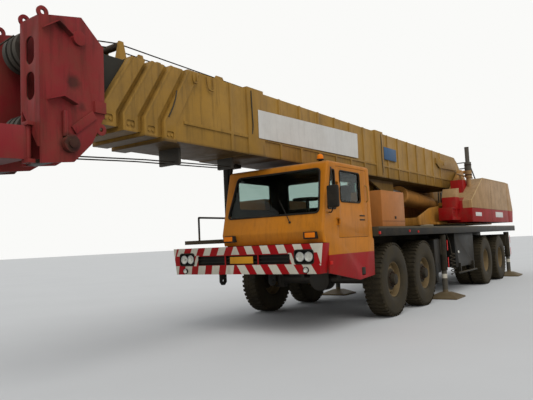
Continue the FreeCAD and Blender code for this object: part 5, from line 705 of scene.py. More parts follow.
def rounded(points, bend, closed):
    """The points with each corner turned into a short arc; an open route keeps its two ends."""
    points = [Vector(point) for point in points]
    if not bend:
        return points
    steps = 5
    path = []
    for number in range(len(points)) if closed else range(1, len(points) - 1):
        here = points[number]
        into = points[number - 1] - here
        out = points[(number + 1) % len(points)] - here
        reach_in, reach_out = min(bend, into.length / 2), min(bend, out.length / 2)
        if not closed:
            reach_in = reach_out = min(reach_in, reach_out)
        start = here + into.normalized() * reach_in
        end = here + out.normalized() * reach_out
        for step in range(steps + 1):
            share = step / steps
            path.append(start.lerp(here, share).lerp(here.lerp(end, share), share))
    return path if closed else [points[0]] + path + [points[-1]]


def pipe(points, radius, bend=0.0, closed=False):
    """A round bar along points, its corners rounded by the bend; closed makes it a loop."""
    curve = bpy.data.curves.new("route", "CURVE")
    curve.dimensions = "3D"
    curve.bevel_depth = radius
    curve.bevel_resolution = 2
    curve.use_fill_caps = not closed
    spline = curve.splines.new("POLY")
    spline.use_cyclic_u = closed
    path = rounded(points, bend, closed)
    spline.points.add(len(path) - 1)
    for place, point in zip(spline.points, path):
        place.co = (*point, 1.0)
    form = bmesh.new()
    form.from_mesh(baked(held(curve)))
    return form


# Repeats by geometry nodes
def ring_tree():
    """Copies of the given mesh, each turned on by Step round the origin."""
    tree = bpy.data.node_groups.new("Ring of copies", "GeometryNodeTree")
    sockets = {}
    for label, kind in (("Geometry", "Geometry"), ("Count", "Int"), ("Step", "Vector"),
                        ("Skin", "Material")):
        socket = tree.interface.new_socket(name=label, in_out="INPUT", socket_type="NodeSocket" + kind)
        sockets[label] = socket.identifier
    tree.interface.new_socket(name="Geometry", in_out="OUTPUT", socket_type="NodeSocketGeometry")
    given = tree.nodes.new("NodeGroupInput").outputs
    line = add(tree, "GeometryNodeMeshLine", {"Count": given["Count"], "Offset": (0.0, 0.0, 0.0)})
    number = tree.nodes.new("GeometryNodeInputIndex")
    turn = add(tree, "ShaderNodeVectorMath", {0: given["Step"], "Scale": number.outputs[0]},
               operation="SCALE")
    copies = add(tree, "GeometryNodeInstanceOnPoints", {
        "Points": line.outputs["Mesh"], "Instance": given["Geometry"], "Rotation": turn.outputs[0]})
    solid = add(tree, "GeometryNodeRealizeInstances", {"Geometry": copies.outputs["Instances"]})
    coat = add(tree, "GeometryNodeSetMaterial", {"Geometry": solid.outputs["Geometry"],
                                                 "Material": given["Skin"]})
    tree.links.new(coat.outputs["Geometry"], tree.nodes.new("NodeGroupOutput").inputs["Geometry"])
    return tree, sockets


RING_TREE, RING_SOCKETS = ring_tree()


def ring_of(form, count, material, centre=(0, 0, 0)):
    """Copies of a bmesh turned evenly about the line along Y through the centre, as a mesh."""
    holder = held(mesh_from(form))
    copier = holder.modifiers.new("Copies", "NODES")
    copier.node_group = RING_TREE
    copier[RING_SOCKETS["Count"]] = count
    copier[RING_SOCKETS["Step"]] = (0.0, 2 * math.pi / count, 0.0)
    copier[RING_SOCKETS["Skin"]] = material
    mesh = baked(holder)
    mesh.transform(Matrix.Translation(centre))
    return mesh


# Camera, stage and light
def place_camera():
    """The photograph's view, solved from the machine's own straight lines."""
    focal_px, width_px = 542.5, 533.0
    yaw, pitch, roll = 0.6170, 0.0781, -0.0459
    ahead = Vector((-math.cos(yaw) * math.cos(pitch), -math.sin(yaw) * math.cos(pitch), math.sin(pitch)))
    right = ahead.cross(Vector((0, 0, 1))).normalized()
    upward = right.cross(ahead)
    across = right * math.cos(roll) + upward * math.sin(roll)
    upright = upward * math.cos(roll) - right * math.sin(roll)
    lens = bpy.data.cameras.new("View")
    lens.sensor_width = 36.0
    lens.lens = focal_px * lens.sensor_width / width_px
    camera = bpy.data.objects.new("View", lens)
    turn = Matrix((across, upright, -ahead)).transposed()
    camera.matrix_world = Matrix.Translation(at(9.719, 5.581, 1.478)) @ turn.to_4x4()
    bpy.context.scene.collection.objects.link(camera)
    bpy.context.scene.camera = camera


def build_floor():
    form = bmesh.new()
    bmesh.ops.create_grid(form, x_segments=1, y_segments=1, size=150.0)
    mesh = bpy.data.meshes.new("floor")
    form.to_mesh(mesh)
    form.free()
    floor = bpy.data.objects.new("Floor", mesh)
    bpy.context.scene.collection.objects.link(floor)
    material, shader = new_material("Pale floor")
    tree = material.node_tree
    cloudy = mixed(tree, noise(tree, object_place(tree), 0.4), linear(196, 196, 194), linear(204, 204, 202))
    tree.links.new(cloudy, shader.inputs["Base Color"])
    shader.inputs["Roughness"].default_value = 0.85
    mesh.materials.append(material)


def build_light():
    """An even sky that looks brighter than it lights, and one broad lamp."""
    world = bpy.data.worlds.new("Even sky")
    bpy.context.scene.world = world
    world.use_nodes = True
    tree = world.node_tree
    sky = tree.nodes["Background"]
    set_values(sky, {"Color": linear(238, 242, 248), "Strength": 0.62})
    seen = add(tree, "ShaderNodeBackground", {"Color": linear(250, 250, 248), "Strength": 1.0})
    rays = tree.nodes.new("ShaderNodeLightPath").outputs
    looking = largest(tree, rays["Is Camera Ray"], rays["Is Glossy Ray"], rays["Is Transmission Ray"])
    pick = add(tree, "ShaderNodeMixShader", {0: looking, 1: sky.outputs[0], 2: seen.outputs[0]})
    tree.links.new(pick.outputs[0], tree.nodes["World Output"].inputs["Surface"])
    lamp = bpy.data.lights.new("Broad lamp", "SUN")
    lamp.energy = 1.5
    lamp.angle = math.radians(50)
    sun = bpy.data.objects.new("Broad lamp", lamp)
    sun.rotation_euler = (math.radians(38), math.radians(18), math.radians(120))
    bpy.context.scene.collection.objects.link(sun)


# Wheels
LUG_COUNT = 44
NUT_COUNT = 10


def tyre_carcass(centre):
    """A tyre's body with ribbed sidewalls."""
    half = TYRE_W / 2
    crown = TYRE_R - 0.014
    section = [(-half + 0.040, 0.334), (-half + 0.012, 0.365), (-half + 0.002, 0.43), (-half, 0.50),
               (-half + 0.001, 0.56), (-half + 0.009, 0.615), (-half + 0.016, 0.622), (-half + 0.02, 0.64),
               (-half + 0.05, crown - 0.01), (-half * 0.5, crown), (0.0, crown + 0.002)]
    outline = section + [(-along, radius) for along, radius in reversed(section[:-1])]
    return lathe(outline, centre, "Y", 72, closed=True)


def shoulder_lug(side):
    """One shoulder block with its slanted edge, above the axle; side is +1 or -1 along Y."""
    half = TYRE_W / 2
    wide = 0.026
    inner = half * 0.42
    spots = []
    for level, outer in ((TYRE_R - 0.034, half - 0.006), (TYRE_R - 0.0005, half - 0.024)):
        spots += [(-wide, outer, level), (wide * 0.8, outer, level),
                  (wide * 1.15, inner, level), (-wide * 0.65, inner, level)]
    form = bmesh.new()
    corners = [form.verts.new((ahead, along * side, level)) for ahead, along, level in spots]
    for face in ((0, 1, 2, 3), (7, 6, 5, 4), (0, 4, 5, 1), (1, 5, 6, 2), (2, 6, 7, 3), (3, 7, 4, 0)):
        form.faces.new([corners[number] for number in face])
    return form


def centre_lug(offset):
    """One of the staggered middle blocks of the tread."""
    form = block((-0.024, -0.030, TYRE_R - 0.030), (0.022, 0.034, TYRE_R - 0.001))
    for point in form.verts:
        point.co.x += point.co.y * 0.35
        point.co.y += offset
    return form


def build_tyres(key, centres):
    """The tyres of one wheel end: carcass, shoulder blocks and two middle rows."""
    forms = []
    for centre in centres:
        forms.append(tyre_carcass(centre))
        for lug in (shoulder_lug(1), shoulder_lug(-1), centre_lug(-0.042), centre_lug(0.042)):
            row = bmesh.new()
            row.from_mesh(ring_of(lug, LUG_COUNT, RUBBER, centre))
            forms.append(row)
    piece = assembled("tyre_tread_" + key, forms, RUBBER, "wheel_" + key)
    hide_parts("tyre_" + key)


def wheel_nut(reach, radius):
    """A hexagon nut with its stud on a wheel's bolt circle."""
    nut = lathe([(reach, 0.016), (reach + 0.018, 0.016), (reach + 0.020, 0.013)], (0, 0, radius), "Y", 6)
    stud = lathe([(reach, 0.008), (reach + 0.034, 0.008)], (0, 0, radius), "Y", 8)
    return joined([nut, stud])


def disc_sector(count):
    """One part of a steered wheel's bulged disc, with its oval hand hole."""
    inner, middle, outer, thick = 0.150, 0.248, 0.312, 0.014
    form = bmesh.new()

    def spot(reach, angle):
        bulge = 0.108 - (reach - inner) * 0.42
        return form.verts.new((reach * math.sin(angle), bulge, reach * math.cos(angle)))

    half = math.pi / count
    rim = [spot(outer, half * step / 3) for step in range(-3, 4)]
    rim += [spot(inner, -half * step / 2) for step in range(-2, 3)]
    hole = []
    for number in range(16):
        angle = 2 * math.pi * number / 16
        hole.append(spot(middle + 0.024 * math.cos(angle), 0.036 * math.sin(angle) / middle))
    edges = [form.edges.new((loop[number - 1], loop[number])) for loop in (rim, hole)
             for number in range(len(loop))]
    filled = bmesh.ops.triangle_fill(form, use_beauty=True, use_dissolve=False, edges=edges)
    faces = [item for item in filled["geom"] if isinstance(item, bmesh.types.BMFace)]
    pushed = bmesh.ops.extrude_face_region(form, geom=faces, use_keep_orig=True)
    moved = [item for item in pushed["geom"] if isinstance(item, bmesh.types.BMVert)]
    bmesh.ops.translate(form, verts=moved, vec=(0.0, -thick, 0.0))
    return form


def front_disc():
    """The bulged disc of a steered wheel: a flange round the hub and ten parts with hand holes."""
    form = lathe([(0.092, 0.112), (0.110, 0.112), (0.111, 0.148), (0.107, 0.160), (0.092, 0.152)],
                 (0, 0, 0), "Y", 40, closed=True)
    form.from_mesh(ring_of(disc_sector(10), 10, RIM_PAINT))
    return mesh_from(form)


def build_wheel_end(axle, side, way):
    """Tyres, rim and nuts at one end of an axle, and the bulged disc of a steered wheel."""
    key = "%s_%s" % (axle, side)
    axle_x, _, axle_z = JOINTS["spin_" + key]["pos_m"]
    outer = Vector((axle_x, way * WHEEL_Y, axle_z))
    centres = [outer]
    low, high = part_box("tyre_" + key)
    if high[1] - low[1] > TYRE_W * 1.5:
        inner_y = low[1] + TYRE_W / 2 if way > 0 else high[1] - TYRE_W / 2
        centres.append(Vector((axle_x, inner_y, axle_z)))
    build_tyres(key, centres)
    refined("rim_" + key, RIM_PAINT, "wheel_" + key, 0.004)
    if axle in STEERED_AXLES:
        fittings = [("wheel_nuts_", ring_of(wheel_nut(0.106, 0.134), NUT_COUNT, HUB_STEEL), HUB_STEEL),
                    ("wheel_disc_", front_disc(), RIM_PAINT)]
    else:
        fittings = [("wheel_nuts_", ring_of(wheel_nut(-0.14, 0.145), NUT_COUNT, HUB_STEEL), HUB_STEEL)]
    for label, mesh, skin in fittings:
        if way < 0:
            mesh.transform(Matrix.Rotation(math.pi, 4, "Z"))
        mesh.transform(Matrix.Translation(outer))
        finished(label + key, mesh, skin, "wheel_" + key)


def build_wheels():
    for axle in AXLES:
        build_wheel_end(axle, "left", 1)
        build_wheel_end(axle, "right", -1)


# Lamp sections: distance forward of the lamp's back, and radius
HEADLAMP_BOWL = ((0.0, 0.004), (0.006, 0.04), (0.018, 0.058), (0.034, 0.068), (0.036, 0.068),
                 (0.036, 0.062), (0.020, 0.050), (0.012, 0.004))
HEADLAMP_BULB = ((0.012, 0.004), (0.020, 0.018), (0.030, 0.016), (0.034, 0.004))
HEADLAMP_LENS = ((0.034, 0.004), (0.034, 0.067), (0.040, 0.067), (0.046, 0.050), (0.050, 0.025),
                 (0.051, 0.004))
FOG_BOWL = ((0.004, 0.004), (0.008, 0.036), (0.026, 0.040), (0.028, 0.036), (0.014, 0.020), (0.012, 0.004))
FOG_LENS = ((0.026, 0.004), (0.026, 0.038), (0.032, 0.036), (0.038, 0.016), (0.039, 0.004))
FOG_RIM = ((0.0, 0.004), (0.0, 0.046), (0.028, 0.048), (0.034, 0.044), (0.028, 0.040), (0.004, 0.036),
           (0.003, 0.004))
HEADLAMP_Y = (1.140, 1.295)
HEADLAMP_Z = 1.235


def facing_forward(profile, spot, steps=24):
    return lathe(profile, spot, "X", steps)


def ring_forward(spot, radius, thick):
    """A round rim about a line along X."""
    turns = [2 * math.pi * number / 8 for number in range(8)]
    section = [(thick * math.cos(turn), radius + thick * math.sin(turn)) for turn in turns]
    return lathe(section, spot, "X", 28, closed=True)


def build_bumper_lamps():
    """Twin headlamps in their framed panels, fog lamps below them and the blank number plate."""
    bowls, lenses, rims, frames = [], [], [], []
    (near, far), (low, high) = LAMP_PANEL_Y, LAMP_PANEL_Z
    for way in (1, -1):
        for across in HEADLAMP_Y:
            spot = (BUMPER_FRONT - 0.044, way * across, HEADLAMP_Z)
            bowls.append(facing_forward(HEADLAMP_BOWL, spot))
            bowls.append(facing_forward(HEADLAMP_BULB, spot, 12))
            lenses.append(facing_forward(HEADLAMP_LENS, spot))
            rims.append(ring_forward((BUMPER_FRONT - 0.008, way * across, HEADLAMP_Z), 0.070, 0.006))
        corners = [(BUMPER_FRONT, way * across, level) for across, level in
                   ((near, low), (far, low), (far, high), (near, high))]
        frames.append(pipe(corners, 0.010, 0.05, closed=True))
        spot = (BUMPER_FRONT, way * 1.25, 1.035)
        bowls.append(facing_forward(FOG_BOWL, spot))
        lenses.append(facing_forward(FOG_LENS, spot))
        frames.append(facing_forward(FOG_RIM, spot))
    bowl = assembled("headlamp_bowls", bowls, REFLECTOR, "carrier")
    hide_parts("lamps")
    assembled("headlamp_lenses", lenses, LAMP_GLASS, "carrier")
    assembled("headlamp_rims", rims, CHROME, "carrier")
    assembled("lamp_frames", frames, BLACK_TRIM, "carrier")
    plate = soft_block((BUMPER_FRONT - 0.012, -0.24, 1.150), (BUMPER_FRONT - 0.006, 0.24, 1.262), 0.002)
    assembled("blank_number_plate", [plate], PLATE_YELLOW, "carrier")


# Turn, tail and side lamps by colour: half sizes, then the middles of the lamps that have them
SMALL_LAMPS = {
    "amber": (AMBER, (
        ((0.040, 0.088, 0.038), ((2.608, 1.330, 1.560), (2.608, -0.270, 1.560))),
        ((0.022, 0.050, 0.050), ((-10.862, 1.430, 1.585), (-10.862, -1.430, 1.585))))),
    "black": (BLACK_TRIM, (
        ((0.040, 0.112, 0.054), ((2.596, 1.320, 1.556), (2.596, -0.260, 1.556))),)),
    "red": (RED_LENS, (
        ((0.022, 0.098, 0.050), ((-10.862, 1.280, 1.585), (-10.862, -1.280, 1.585))),
        ((0.030, 0.012, 0.026), ((0.680, 1.606, 1.560), (0.680, -1.606, 1.560))),
        ((0.024, 0.012, 0.022), ((-0.770, 1.606, 1.578), (-1.260, 1.606, 1.560), (-1.260, -1.606, 1.560))),
        ((0.040, 0.010, 0.028), ((2.380, 1.536, 1.124),)))),
}


def build_small_lamps():
    for name, (skin, kinds) in SMALL_LAMPS.items():
        forms = []
        for half_sizes, middles in kinds:
            for middle in middles:
                centre, reach = at(*middle), Vector(half_sizes)
                forms.append(soft_block(centre - reach, centre + reach, 0.008))
        assembled(name + "_lamp_parts", forms, skin, "carrier")


def build_beacon():
    """Amber dome on a black foot on the cab's roof."""
    spot = (x_of(2.190), 1.330, 0.0)
    dome = lathe([(2.765, 0.004), (2.765, 0.052), (2.800, 0.052), (2.828, 0.044), (2.844, 0.028),
                  (2.850, 0.004)], spot, "Z", 28)
    foot = lathe([(2.715, 0.004), (2.715, 0.040), (2.728, 0.032), (2.745, 0.030), (2.752, 0.058),
                  (2.766, 0.058), (2.766, 0.004)], spot, "Z", 28)
    assembled("beacon_dome", [dome], AMBER, "carrier")
    assembled("beacon_foot", [foot], BLACK_TRIM, "carrier")


# Cab trim
def pane_corners(near, far, low, high):
    """A pane's corners as (across, level), from two levels and the two ends of its lower and upper edge."""
    return ((near[0], low), (far[0], low), (far[1], high), (near[1], high))


def window_rubber(spots, bend, radius=0.013):
    """A closed round section through a window's corners."""
    return pipe(spots, radius, bend, closed=True)


def side_window(rear, front, low, high, across, bend=0.05):
    """The rubber of an upright window in a cab's side."""
    return window_rubber(path_of((rear, across, low), (front, across, low), (front, across, high),
                                 (rear, across, high)), bend)


def build_cab_trim():
    """Window rubbers, and the door's slots, grab handle and step hole."""
    screen = [at(SCREEN_X - SCREEN_LEAN * (level - SCREEN_Z), across, level) for across, level in
              pane_corners((-0.350, -0.230), (1.440, 1.400), 1.900, 2.600)]
    quarter = [at(ahead, CAB_SIDE_Y, level) for ahead, level in
               pane_corners((2.130, 2.130), (2.400, 2.240), 1.960, 2.580)]
    rear = [at(0.800 + 0.0234 * (level - 1.44), across, level) for across, level in
            pane_corners((-0.200, -0.200), (1.280, 1.280), 2.080, 2.580)]
    rubbers = [window_rubber(screen, 0.075, 0.016), window_rubber(quarter, 0.038),
               window_rubber(rear, 0.060), side_window(1.100, 2.100, 2.080, 2.580, -0.450)]
    assembled("cab_window_rubbers", rubbers, BLACK_TRIM, "carrier")
    assembled("cab_door_rubber", [side_window(1.240, 1.960, 2.080, 2.580, CAB_SIDE_Y, 0.060)],
              BLACK_TRIM, "cab_door_body")
    slots = [soft_block(at(1.10, 1.526, level - 0.012), at(1.30, 1.534, level + 0.012), 0.003)
             for level in (1.86, 1.79)]
    assembled("door_latch_slots", slots, BLACK_TRIM, "cab_door_body")
    handle = pipe(path_of((1.03, 1.520, 2.39), (1.03, 1.570, 2.37), (1.01, 1.570, 2.12),
                          (1.01, 1.520, 2.10)), 0.009, 0.03)
    assembled("door_grab_handle", [handle], PLAIN_OCHRE, "cab_door_body")
    step_hole = soft_block(at(1.19, 1.526, 0.87), at(1.33, 1.533, 0.99), 0.003)
    assembled("step_hole", [step_hole], BLACK_TRIM, "carrier")


def build_wiper():
    """Arm and blade lying on the windscreen, with its pivot boss below."""
    pivot, middle, tip = path_of((2.556, 0.927, 1.777), (2.513, 0.816, 1.948), (2.476, 0.719, 2.093))
    arm = pipe([pivot, middle, tip], 0.007, 0.03)
    boss = lathe([(-0.012, 0.018), (0.006, 0.020), (0.012, 0.012)], pivot, "X", 16)
    lean = (tip - middle).normalized()
    blade = pipe([middle - lean * 0.16, tip + lean * 0.06], 0.006)
    assembled("wiper", [arm, boss, blade], BLACK_TRIM, "carrier")


def build_mirror():
    """Rounded mirror head on its two thin arms."""
    head = soft_block(at(2.450, 1.590, 1.960), at(2.530, 1.780, 2.300), 0.034)
    upper = pipe(path_of((2.240, 1.540, 2.610), (2.400, 1.620, 2.580), (2.490, 1.680, 2.450),
                         (2.490, 1.685, 2.250)), 0.010, 0.06)
    lower = pipe(path_of((2.360, 1.535, 1.900), (2.440, 1.620, 1.890), (2.490, 1.685, 2.000)), 0.010, 0.04)
    piece = assembled("mirror_head_and_arms", [head, upper, lower], BLACK_TRIM, "carrier")
    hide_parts("mirror")


def crowned_cushion(low, high, crown_axis, lean):
    """A padded cushion: rounded corners, sides pulled in, a crowned face with two sewn channels."""
    form = bmesh.new()
    bmesh.ops.create_cube(form, size=2.0)
    bmesh.ops.subdivide_edges(form, edges=form.edges, cuts=23, use_grid_fill=True)
    across = [axis for axis in range(3) if axis != crown_axis]
    roundness = 14
    for point in form.verts:
        spot = point.co.copy()
        reach = sum(abs(value) ** roundness for value in spot) ** (1 / roundness)
        spot *= max(abs(value) for value in spot) / reach
        first, second = spot[across[0]], spot[across[1]]
        if spot[crown_axis] > 0.6:
            channel = 0.20 * math.exp(-((abs(first) - 0.34) / 0.06) ** 2)
            spot[crown_axis] += 0.34 * (1 - first ** 4) * (1 - second ** 4) - channel
        spot[across[0]] *= 1 - 0.02 * (1 - second * second)
        spot[across[1]] *= 1 - 0.02 * (1 - first * first)
        for axis in range(3):
            point.co[axis] = (low[axis] + high[axis]) / 2 + spot[axis] * (high[axis] - low[axis]) / 2
        point.co.x += lean * (point.co.z - low[2])
    return form


# Cushions: name, body, then seat and back as two corners, the axis of the crown and the lean
CUSHIONS = (
    ("driver_cushions", "carrier",
     ((0.986, 0.686, 1.766), (1.514, 1.214, 1.914), 2, 0.0),
     ((0.976, 0.686, 1.796), (1.124, 1.214, 2.436), 0, -0.092)),
    ("operator_cushions", "platform",
     ((-5.454, -1.354, 2.272), (-4.946, -0.886, 2.420), 2, 0.0),
     ((-5.484, -1.354, 2.292), (-5.336, -0.886, 2.992), 0, -0.082)),
)


def build_cushions():
    for name, body, *cushions in CUSHIONS:
        forms = [crowned_cushion(at(*low), at(*high), crown_axis, lean)
                 for low, high, crown_axis, lean in cushions]
        assembled(name, forms, CUSHION_VINYL, body)


def build_operator_trim():
    """Rubbers of the crane operator's windows."""
    front = [at(-4.10 - 0.32 * (level - 2.42), across, level) for across, level in
             pane_corners((-1.410, -1.410), (-0.830, -0.830), 2.460, 3.300)]
    rear = [at(-5.700, across, level) for across, level in
            pane_corners((-1.390, -1.390), (-0.850, -0.850), 2.620, 3.280)]
    rubbers = [window_rubber(front, 0.05), window_rubber(rear, 0.05),
               side_window(-5.500, -4.540, 2.420, 3.280, -0.740)]
    assembled("operator_window_rubbers", rubbers, BLACK_TRIM, "platform")
    assembled("operator_door_rubber", [side_window(-5.330, -4.710, 2.420, 3.220, OPERATOR_SIDE_Y)],
              BLACK_TRIM, "operator_door_body")


# Boom trim
def build_boom_trim():
    """Blank sign, blank blue plate, hoses by the two bands and hanging loops at the first collar."""
    sign = slab([(x_of(2.735), 3.155), (x_of(-0.860), 3.190), (x_of(-0.880), 3.720), (x_of(2.730), 3.620)],
                0.533, 0.540)
    finished("blank_boom_sign", bevelled(mesh_from(sign), 0.002), SIGN_WHITE, "boom")
    plate = soft_block(at(-3.020, 0.520, 3.312), at(-2.285, 0.536, 3.608), 0.002)
    assembled("blank_blue_plate", [plate], PLATE_BLUE, "boom")
    front = path_of((2.900, 0.538, 3.900), (2.905, 0.544, 3.700), (2.890, 0.544, 3.330),
                    (2.900, 0.530, 3.200))
    rear = path_of((-2.140, 0.520, 3.915), (-2.150, 0.536, 3.800), (-2.135, 0.536, 3.300),
                   (-2.160, 0.536, 3.020), (-2.140, 0.520, 2.900))
    collar = path_of((4.560, 0.530, 3.560), (4.600, 0.544, 3.440), (4.660, 0.544, 3.300),
                     (4.720, 0.530, 3.180))
    hoses = [pipe(front, 0.010, 0.05), pipe(rear, 0.011, 0.08), pipe(collar, 0.009, 0.05)]
    assembled("boom_side_hoses", hoses, HOSE_RUBBER, "boom")
    loops = []
    for ahead, wide, level in ((4.185, 0.035, 3.740), (3.860, 0.055, 3.700)):
        loops.append(pipe(path_of((ahead + wide * 1.2, 0.516, 3.900), (ahead + wide, 0.538, level),
                                  (ahead - wide, 0.538, level), (ahead - wide * 1.2, 0.516, 3.900)),
                          0.011, 0.04))
    assembled("hanging_loops", loops, PLAIN_OCHRE, "boom")


# Ropes: the boom's bodies from the base outward, and where a rope passes from one to the next
TOP_PASSES = ((3.230, 4.120), (4.529, 4.136), (4.854, 4.141), (5.179, 4.145), (6.372, 3.952))
LOW_PASSES = ((4.750, 2.660), (5.100, 2.640), (5.420, 2.620), (5.750, 2.600), (6.340, 2.566))
ROPE_R = 0.009
ROPE_Y = 0.100
ROLLER_X, ROLLER_TOP_Z = -7.930, 3.985


def rope(start, end):
    return mesh_from(pipe([start, end], ROPE_R))


def build_rope_chain(name, passes, across):
    """Rope pieces along the boom, each stretching between two neighbouring sections."""
    spots = [at(ahead, across, level) for ahead, level in passes]
    for number in range(len(spots) - 1):
        start, end = spots[number:number + 2]
        bent_between("%s_%d" % (name, number + 1), rope(start, end), ROPE_STEEL)


def build_ropes():
    """Hoist ropes from the winches along the boom to the head, and back below the boom to a tie."""
    for label, across in (("left", ROPE_Y), ("right", -ROPE_Y)):
        build_rope_chain("top_rope_" + label, TOP_PASSES, across)
        build_rope_chain("low_rope_" + label, LOW_PASSES, across)
        drum = at(-9.700, across, 3.030)
        tail = at(ROLLER_X, across, ROLLER_TOP_Z)
        guide = at(TOP_PASSES[0][0], across, TOP_PASSES[0][1])
        tie = at(2.980, across, 2.722)
        low = at(LOW_PASSES[0][0], across, LOW_PASSES[0][1])
        finished("boom_rope_" + label, rope(tail, guide), ROPE_STEEL, "boom")
        finished("tied_rope_" + label, rope(tie, low), ROPE_STEEL, "boom")
        bent_between("winch_rope_" + label, rope(drum, tail), ROPE_STEEL)
    finished("stub_rope", rope(at(7.610, 0.0, 2.432), at(6.340, 0.0, 2.520)), ROPE_STEEL, "boom_section_5")
    finished("head_rope", rope(at(6.532, 0.0, 3.885), at(7.770, 0.0, 2.700)), ROPE_STEEL, "boom_section_5")


def build_rope_tie():
    """The two cross bars that hold the ropes below the boom, and the roller on top of the boom's foot."""
    bars = [soft_block(at(2.930, -0.150, 2.690), at(2.990, 0.150, 2.880), 0.008),
            soft_block(at(4.180, -0.200, 2.640), at(4.230, 0.200, 2.880), 0.008)]
    roller = lathe([(-0.160, 0.004), (-0.160, 0.050), (0.160, 0.050), (0.160, 0.004)],
                   at(ROLLER_X, 0.0, ROLLER_TOP_Z - 0.051), "Y", 24)
    assembled("rope_tie", bars + [roller], STEEL, "boom")


# Platform trim
def build_housing_trim():
    """Blank plates on the red band, seams, the pale front edge and the exhaust's cap and straps."""
    face = HOUSING_SIDE_Y
    plates = [soft_block(at(rear, face - 0.002, low), at(front, face + 0.004, high), 0.002)
              for rear, front, low, high in ((-7.100, -6.440, 1.965, 2.075), (-9.860, -8.850, 1.955, 2.125))]
    assembled("blank_housing_plates", plates, SIGN_WHITE, "platform")
    seams = [soft_block(at(-8.404, face - 0.002, 1.850), at(-8.396, face + 0.002, 3.140), 0.001),
             soft_block(at(-11.000, face - 0.002, HOUSING_BAND_Z - 0.002),
                        at(-6.120, face + 0.002, HOUSING_BAND_Z + 0.004), 0.001)]
    assembled("housing_seams", seams, BLACK_TRIM, "platform")
    edge = [at(ahead, face - 0.004, level) for ahead, level in
            ((-6.095, HOUSING_BAND_Z), (-6.095, 2.410), (-7.460, 3.128), (-10.690, 3.176))]
    assembled("housing_pale_edge", [pipe(edge, 0.013, 0.02)], HOUSING_EDGE, "platform")
    exhaust = (x_of(-7.000), 1.180, 0.0)
    fittings = [lathe([(4.040, 0.004), (4.040, 0.066), (4.056, 0.066), (4.056, 0.050), (4.020, 0.050),
                       (4.020, 0.004)], exhaust, "Z", 28)]
    for level in (3.20, 3.50):
        strap = [(level, 0.098), (level, 0.104), (level + 0.03, 0.104), (level + 0.03, 0.098)]
        fittings.append(lathe(strap, exhaust, "Z", 28, closed=True))
    assembled("exhaust_fittings", fittings, HUB_STEEL, "platform")


def build_winch_frame():
    """Guide frame of bent pipes over the winches, with its rope roller on two arms."""
    pipes = []
    for across in (-0.50, 0.50):
        bow = ((-9.300, 2.500), (-9.340, 3.820), (-9.700, 3.960), (-10.560, 3.300), (-10.640, 2.500))
        pipes.append(pipe([at(ahead, across, level) for ahead, level in bow], 0.022, 0.10))
        pipes.append(pipe(path_of((-9.340, across, 3.260), (-10.560, across, 3.260)), 0.014))
        pipes.append(pipe(path_of((-9.900, across, 3.780), (-9.500, across, 3.270)), 0.012))
    for ahead, level in ((-9.345, 3.700), (-9.700, 3.945), (-10.560, 3.290)):
        pipes.append(pipe(path_of((ahead, -0.50, level), (ahead, 0.50, level)), 0.018))
    assembled("winch_guide_frame", pipes, STEEL, "platform")
    roller = lathe([(-0.470, 0.020), (-0.470, 0.085), (-0.440, 0.085), (-0.435, 0.062), (0.435, 0.062),
                    (0.440, 0.085), (0.470, 0.085), (0.470, 0.020)], at(-10.000, 0.0, 3.640), "Y", 24)
    arms = [pipe(path_of((-9.900, across, 3.770), (-10.000, across, 3.640)), 0.020)
            for across in (-0.485, 0.485)]
    assembled("winch_guide_roller", [roller] + arms, LIGHTENED_BARREL_PAINT, "platform")


# Carrier trim
def helix(centre, radius, low, high, turns):
    """Points of an upright coil, from its top down."""
    steps = 14
    count = turns * steps
    return [(centre[0] + radius * math.cos(2 * math.pi * number / steps),
             centre[1] + radius * math.sin(2 * math.pi * number / steps),
             high - (high - low) * number / count) for number in range(count + 1)]


def build_carrier_trim():
    """Cabinet lock and seam, hoses behind the cabinet, coiled hose by the jack, side lamp and sling."""
    lock = soft_block(at(-0.300, 1.532, 1.820), at(-0.230, 1.542, 1.870), 0.004)
    seam = soft_block(at(-0.740, 1.531, 1.772), at(0.350, 1.535, 1.778), 0.001)
    assembled("cabinet_lock", [lock, seam], BLACK_TRIM, "carrier")
    hoses = []
    for number, across in enumerate((0.80, 0.90, 1.00)):
        shift = 0.05 * number
        hoses.append(pipe(path_of((-0.95 - shift, across, 1.680), (-1.05 - shift, across, 1.900),
                                  (-1.45 - shift, across + 0.02, 2.060 - shift),
                                  (-1.85 - shift, across, 1.880), (-1.98 - shift, across, 1.680)),
                          0.020, 0.20))
    assembled("deck_hoses", hoses, HOSE_RUBBER, "carrier")
    coil = pipe(helix((x_of(-3.830), 1.490), 0.055, 0.480, 1.010, 6), 0.011)
    drop = pipe(path_of((-3.775, 1.490, 1.010), (-3.760, 1.470, 1.250), (-3.700, 1.420, 1.490)), 0.011, 0.05)
    assembled("coiled_hose", [coil, drop], HOSE_RUBBER, "carrier")
    sling = pipe(path_of((-2.42, 1.24, 1.695), (-2.90, 1.20, 1.695), (-2.94, 1.38, 1.700),
                         (-2.40, 1.40, 1.700)), 0.018, 0.09, closed=True)
    assembled("deck_sling", [sling], FADED_SLING, "carrier")
    lamp = lathe([(1.472, 0.004), (1.472, 0.034), (1.486, 0.032), (1.492, 0.004)],
                 (x_of(-4.410), 0.0, 1.020), "Y", 20)
    assembled("tank_side_lamp", [lamp], WHITE_LENS, "carrier")


def build_reflector(key, way):
    """Two red strips on the outer face of an outrigger's jack tube."""
    low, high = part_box("beam_" + key)
    middle = (low[0] + high[0]) / 2
    face = high[1] if way > 0 else low[1]
    near, far = sorted((face, face + way * 0.004))
    strips = [soft_block((middle - 0.13, near, level), (middle - 0.08, far, level + 0.24), 0.001)
              for level in (0.70, 1.10)]
    assembled("reflector_" + key, strips, RED_LENS, "outrigger_" + key)


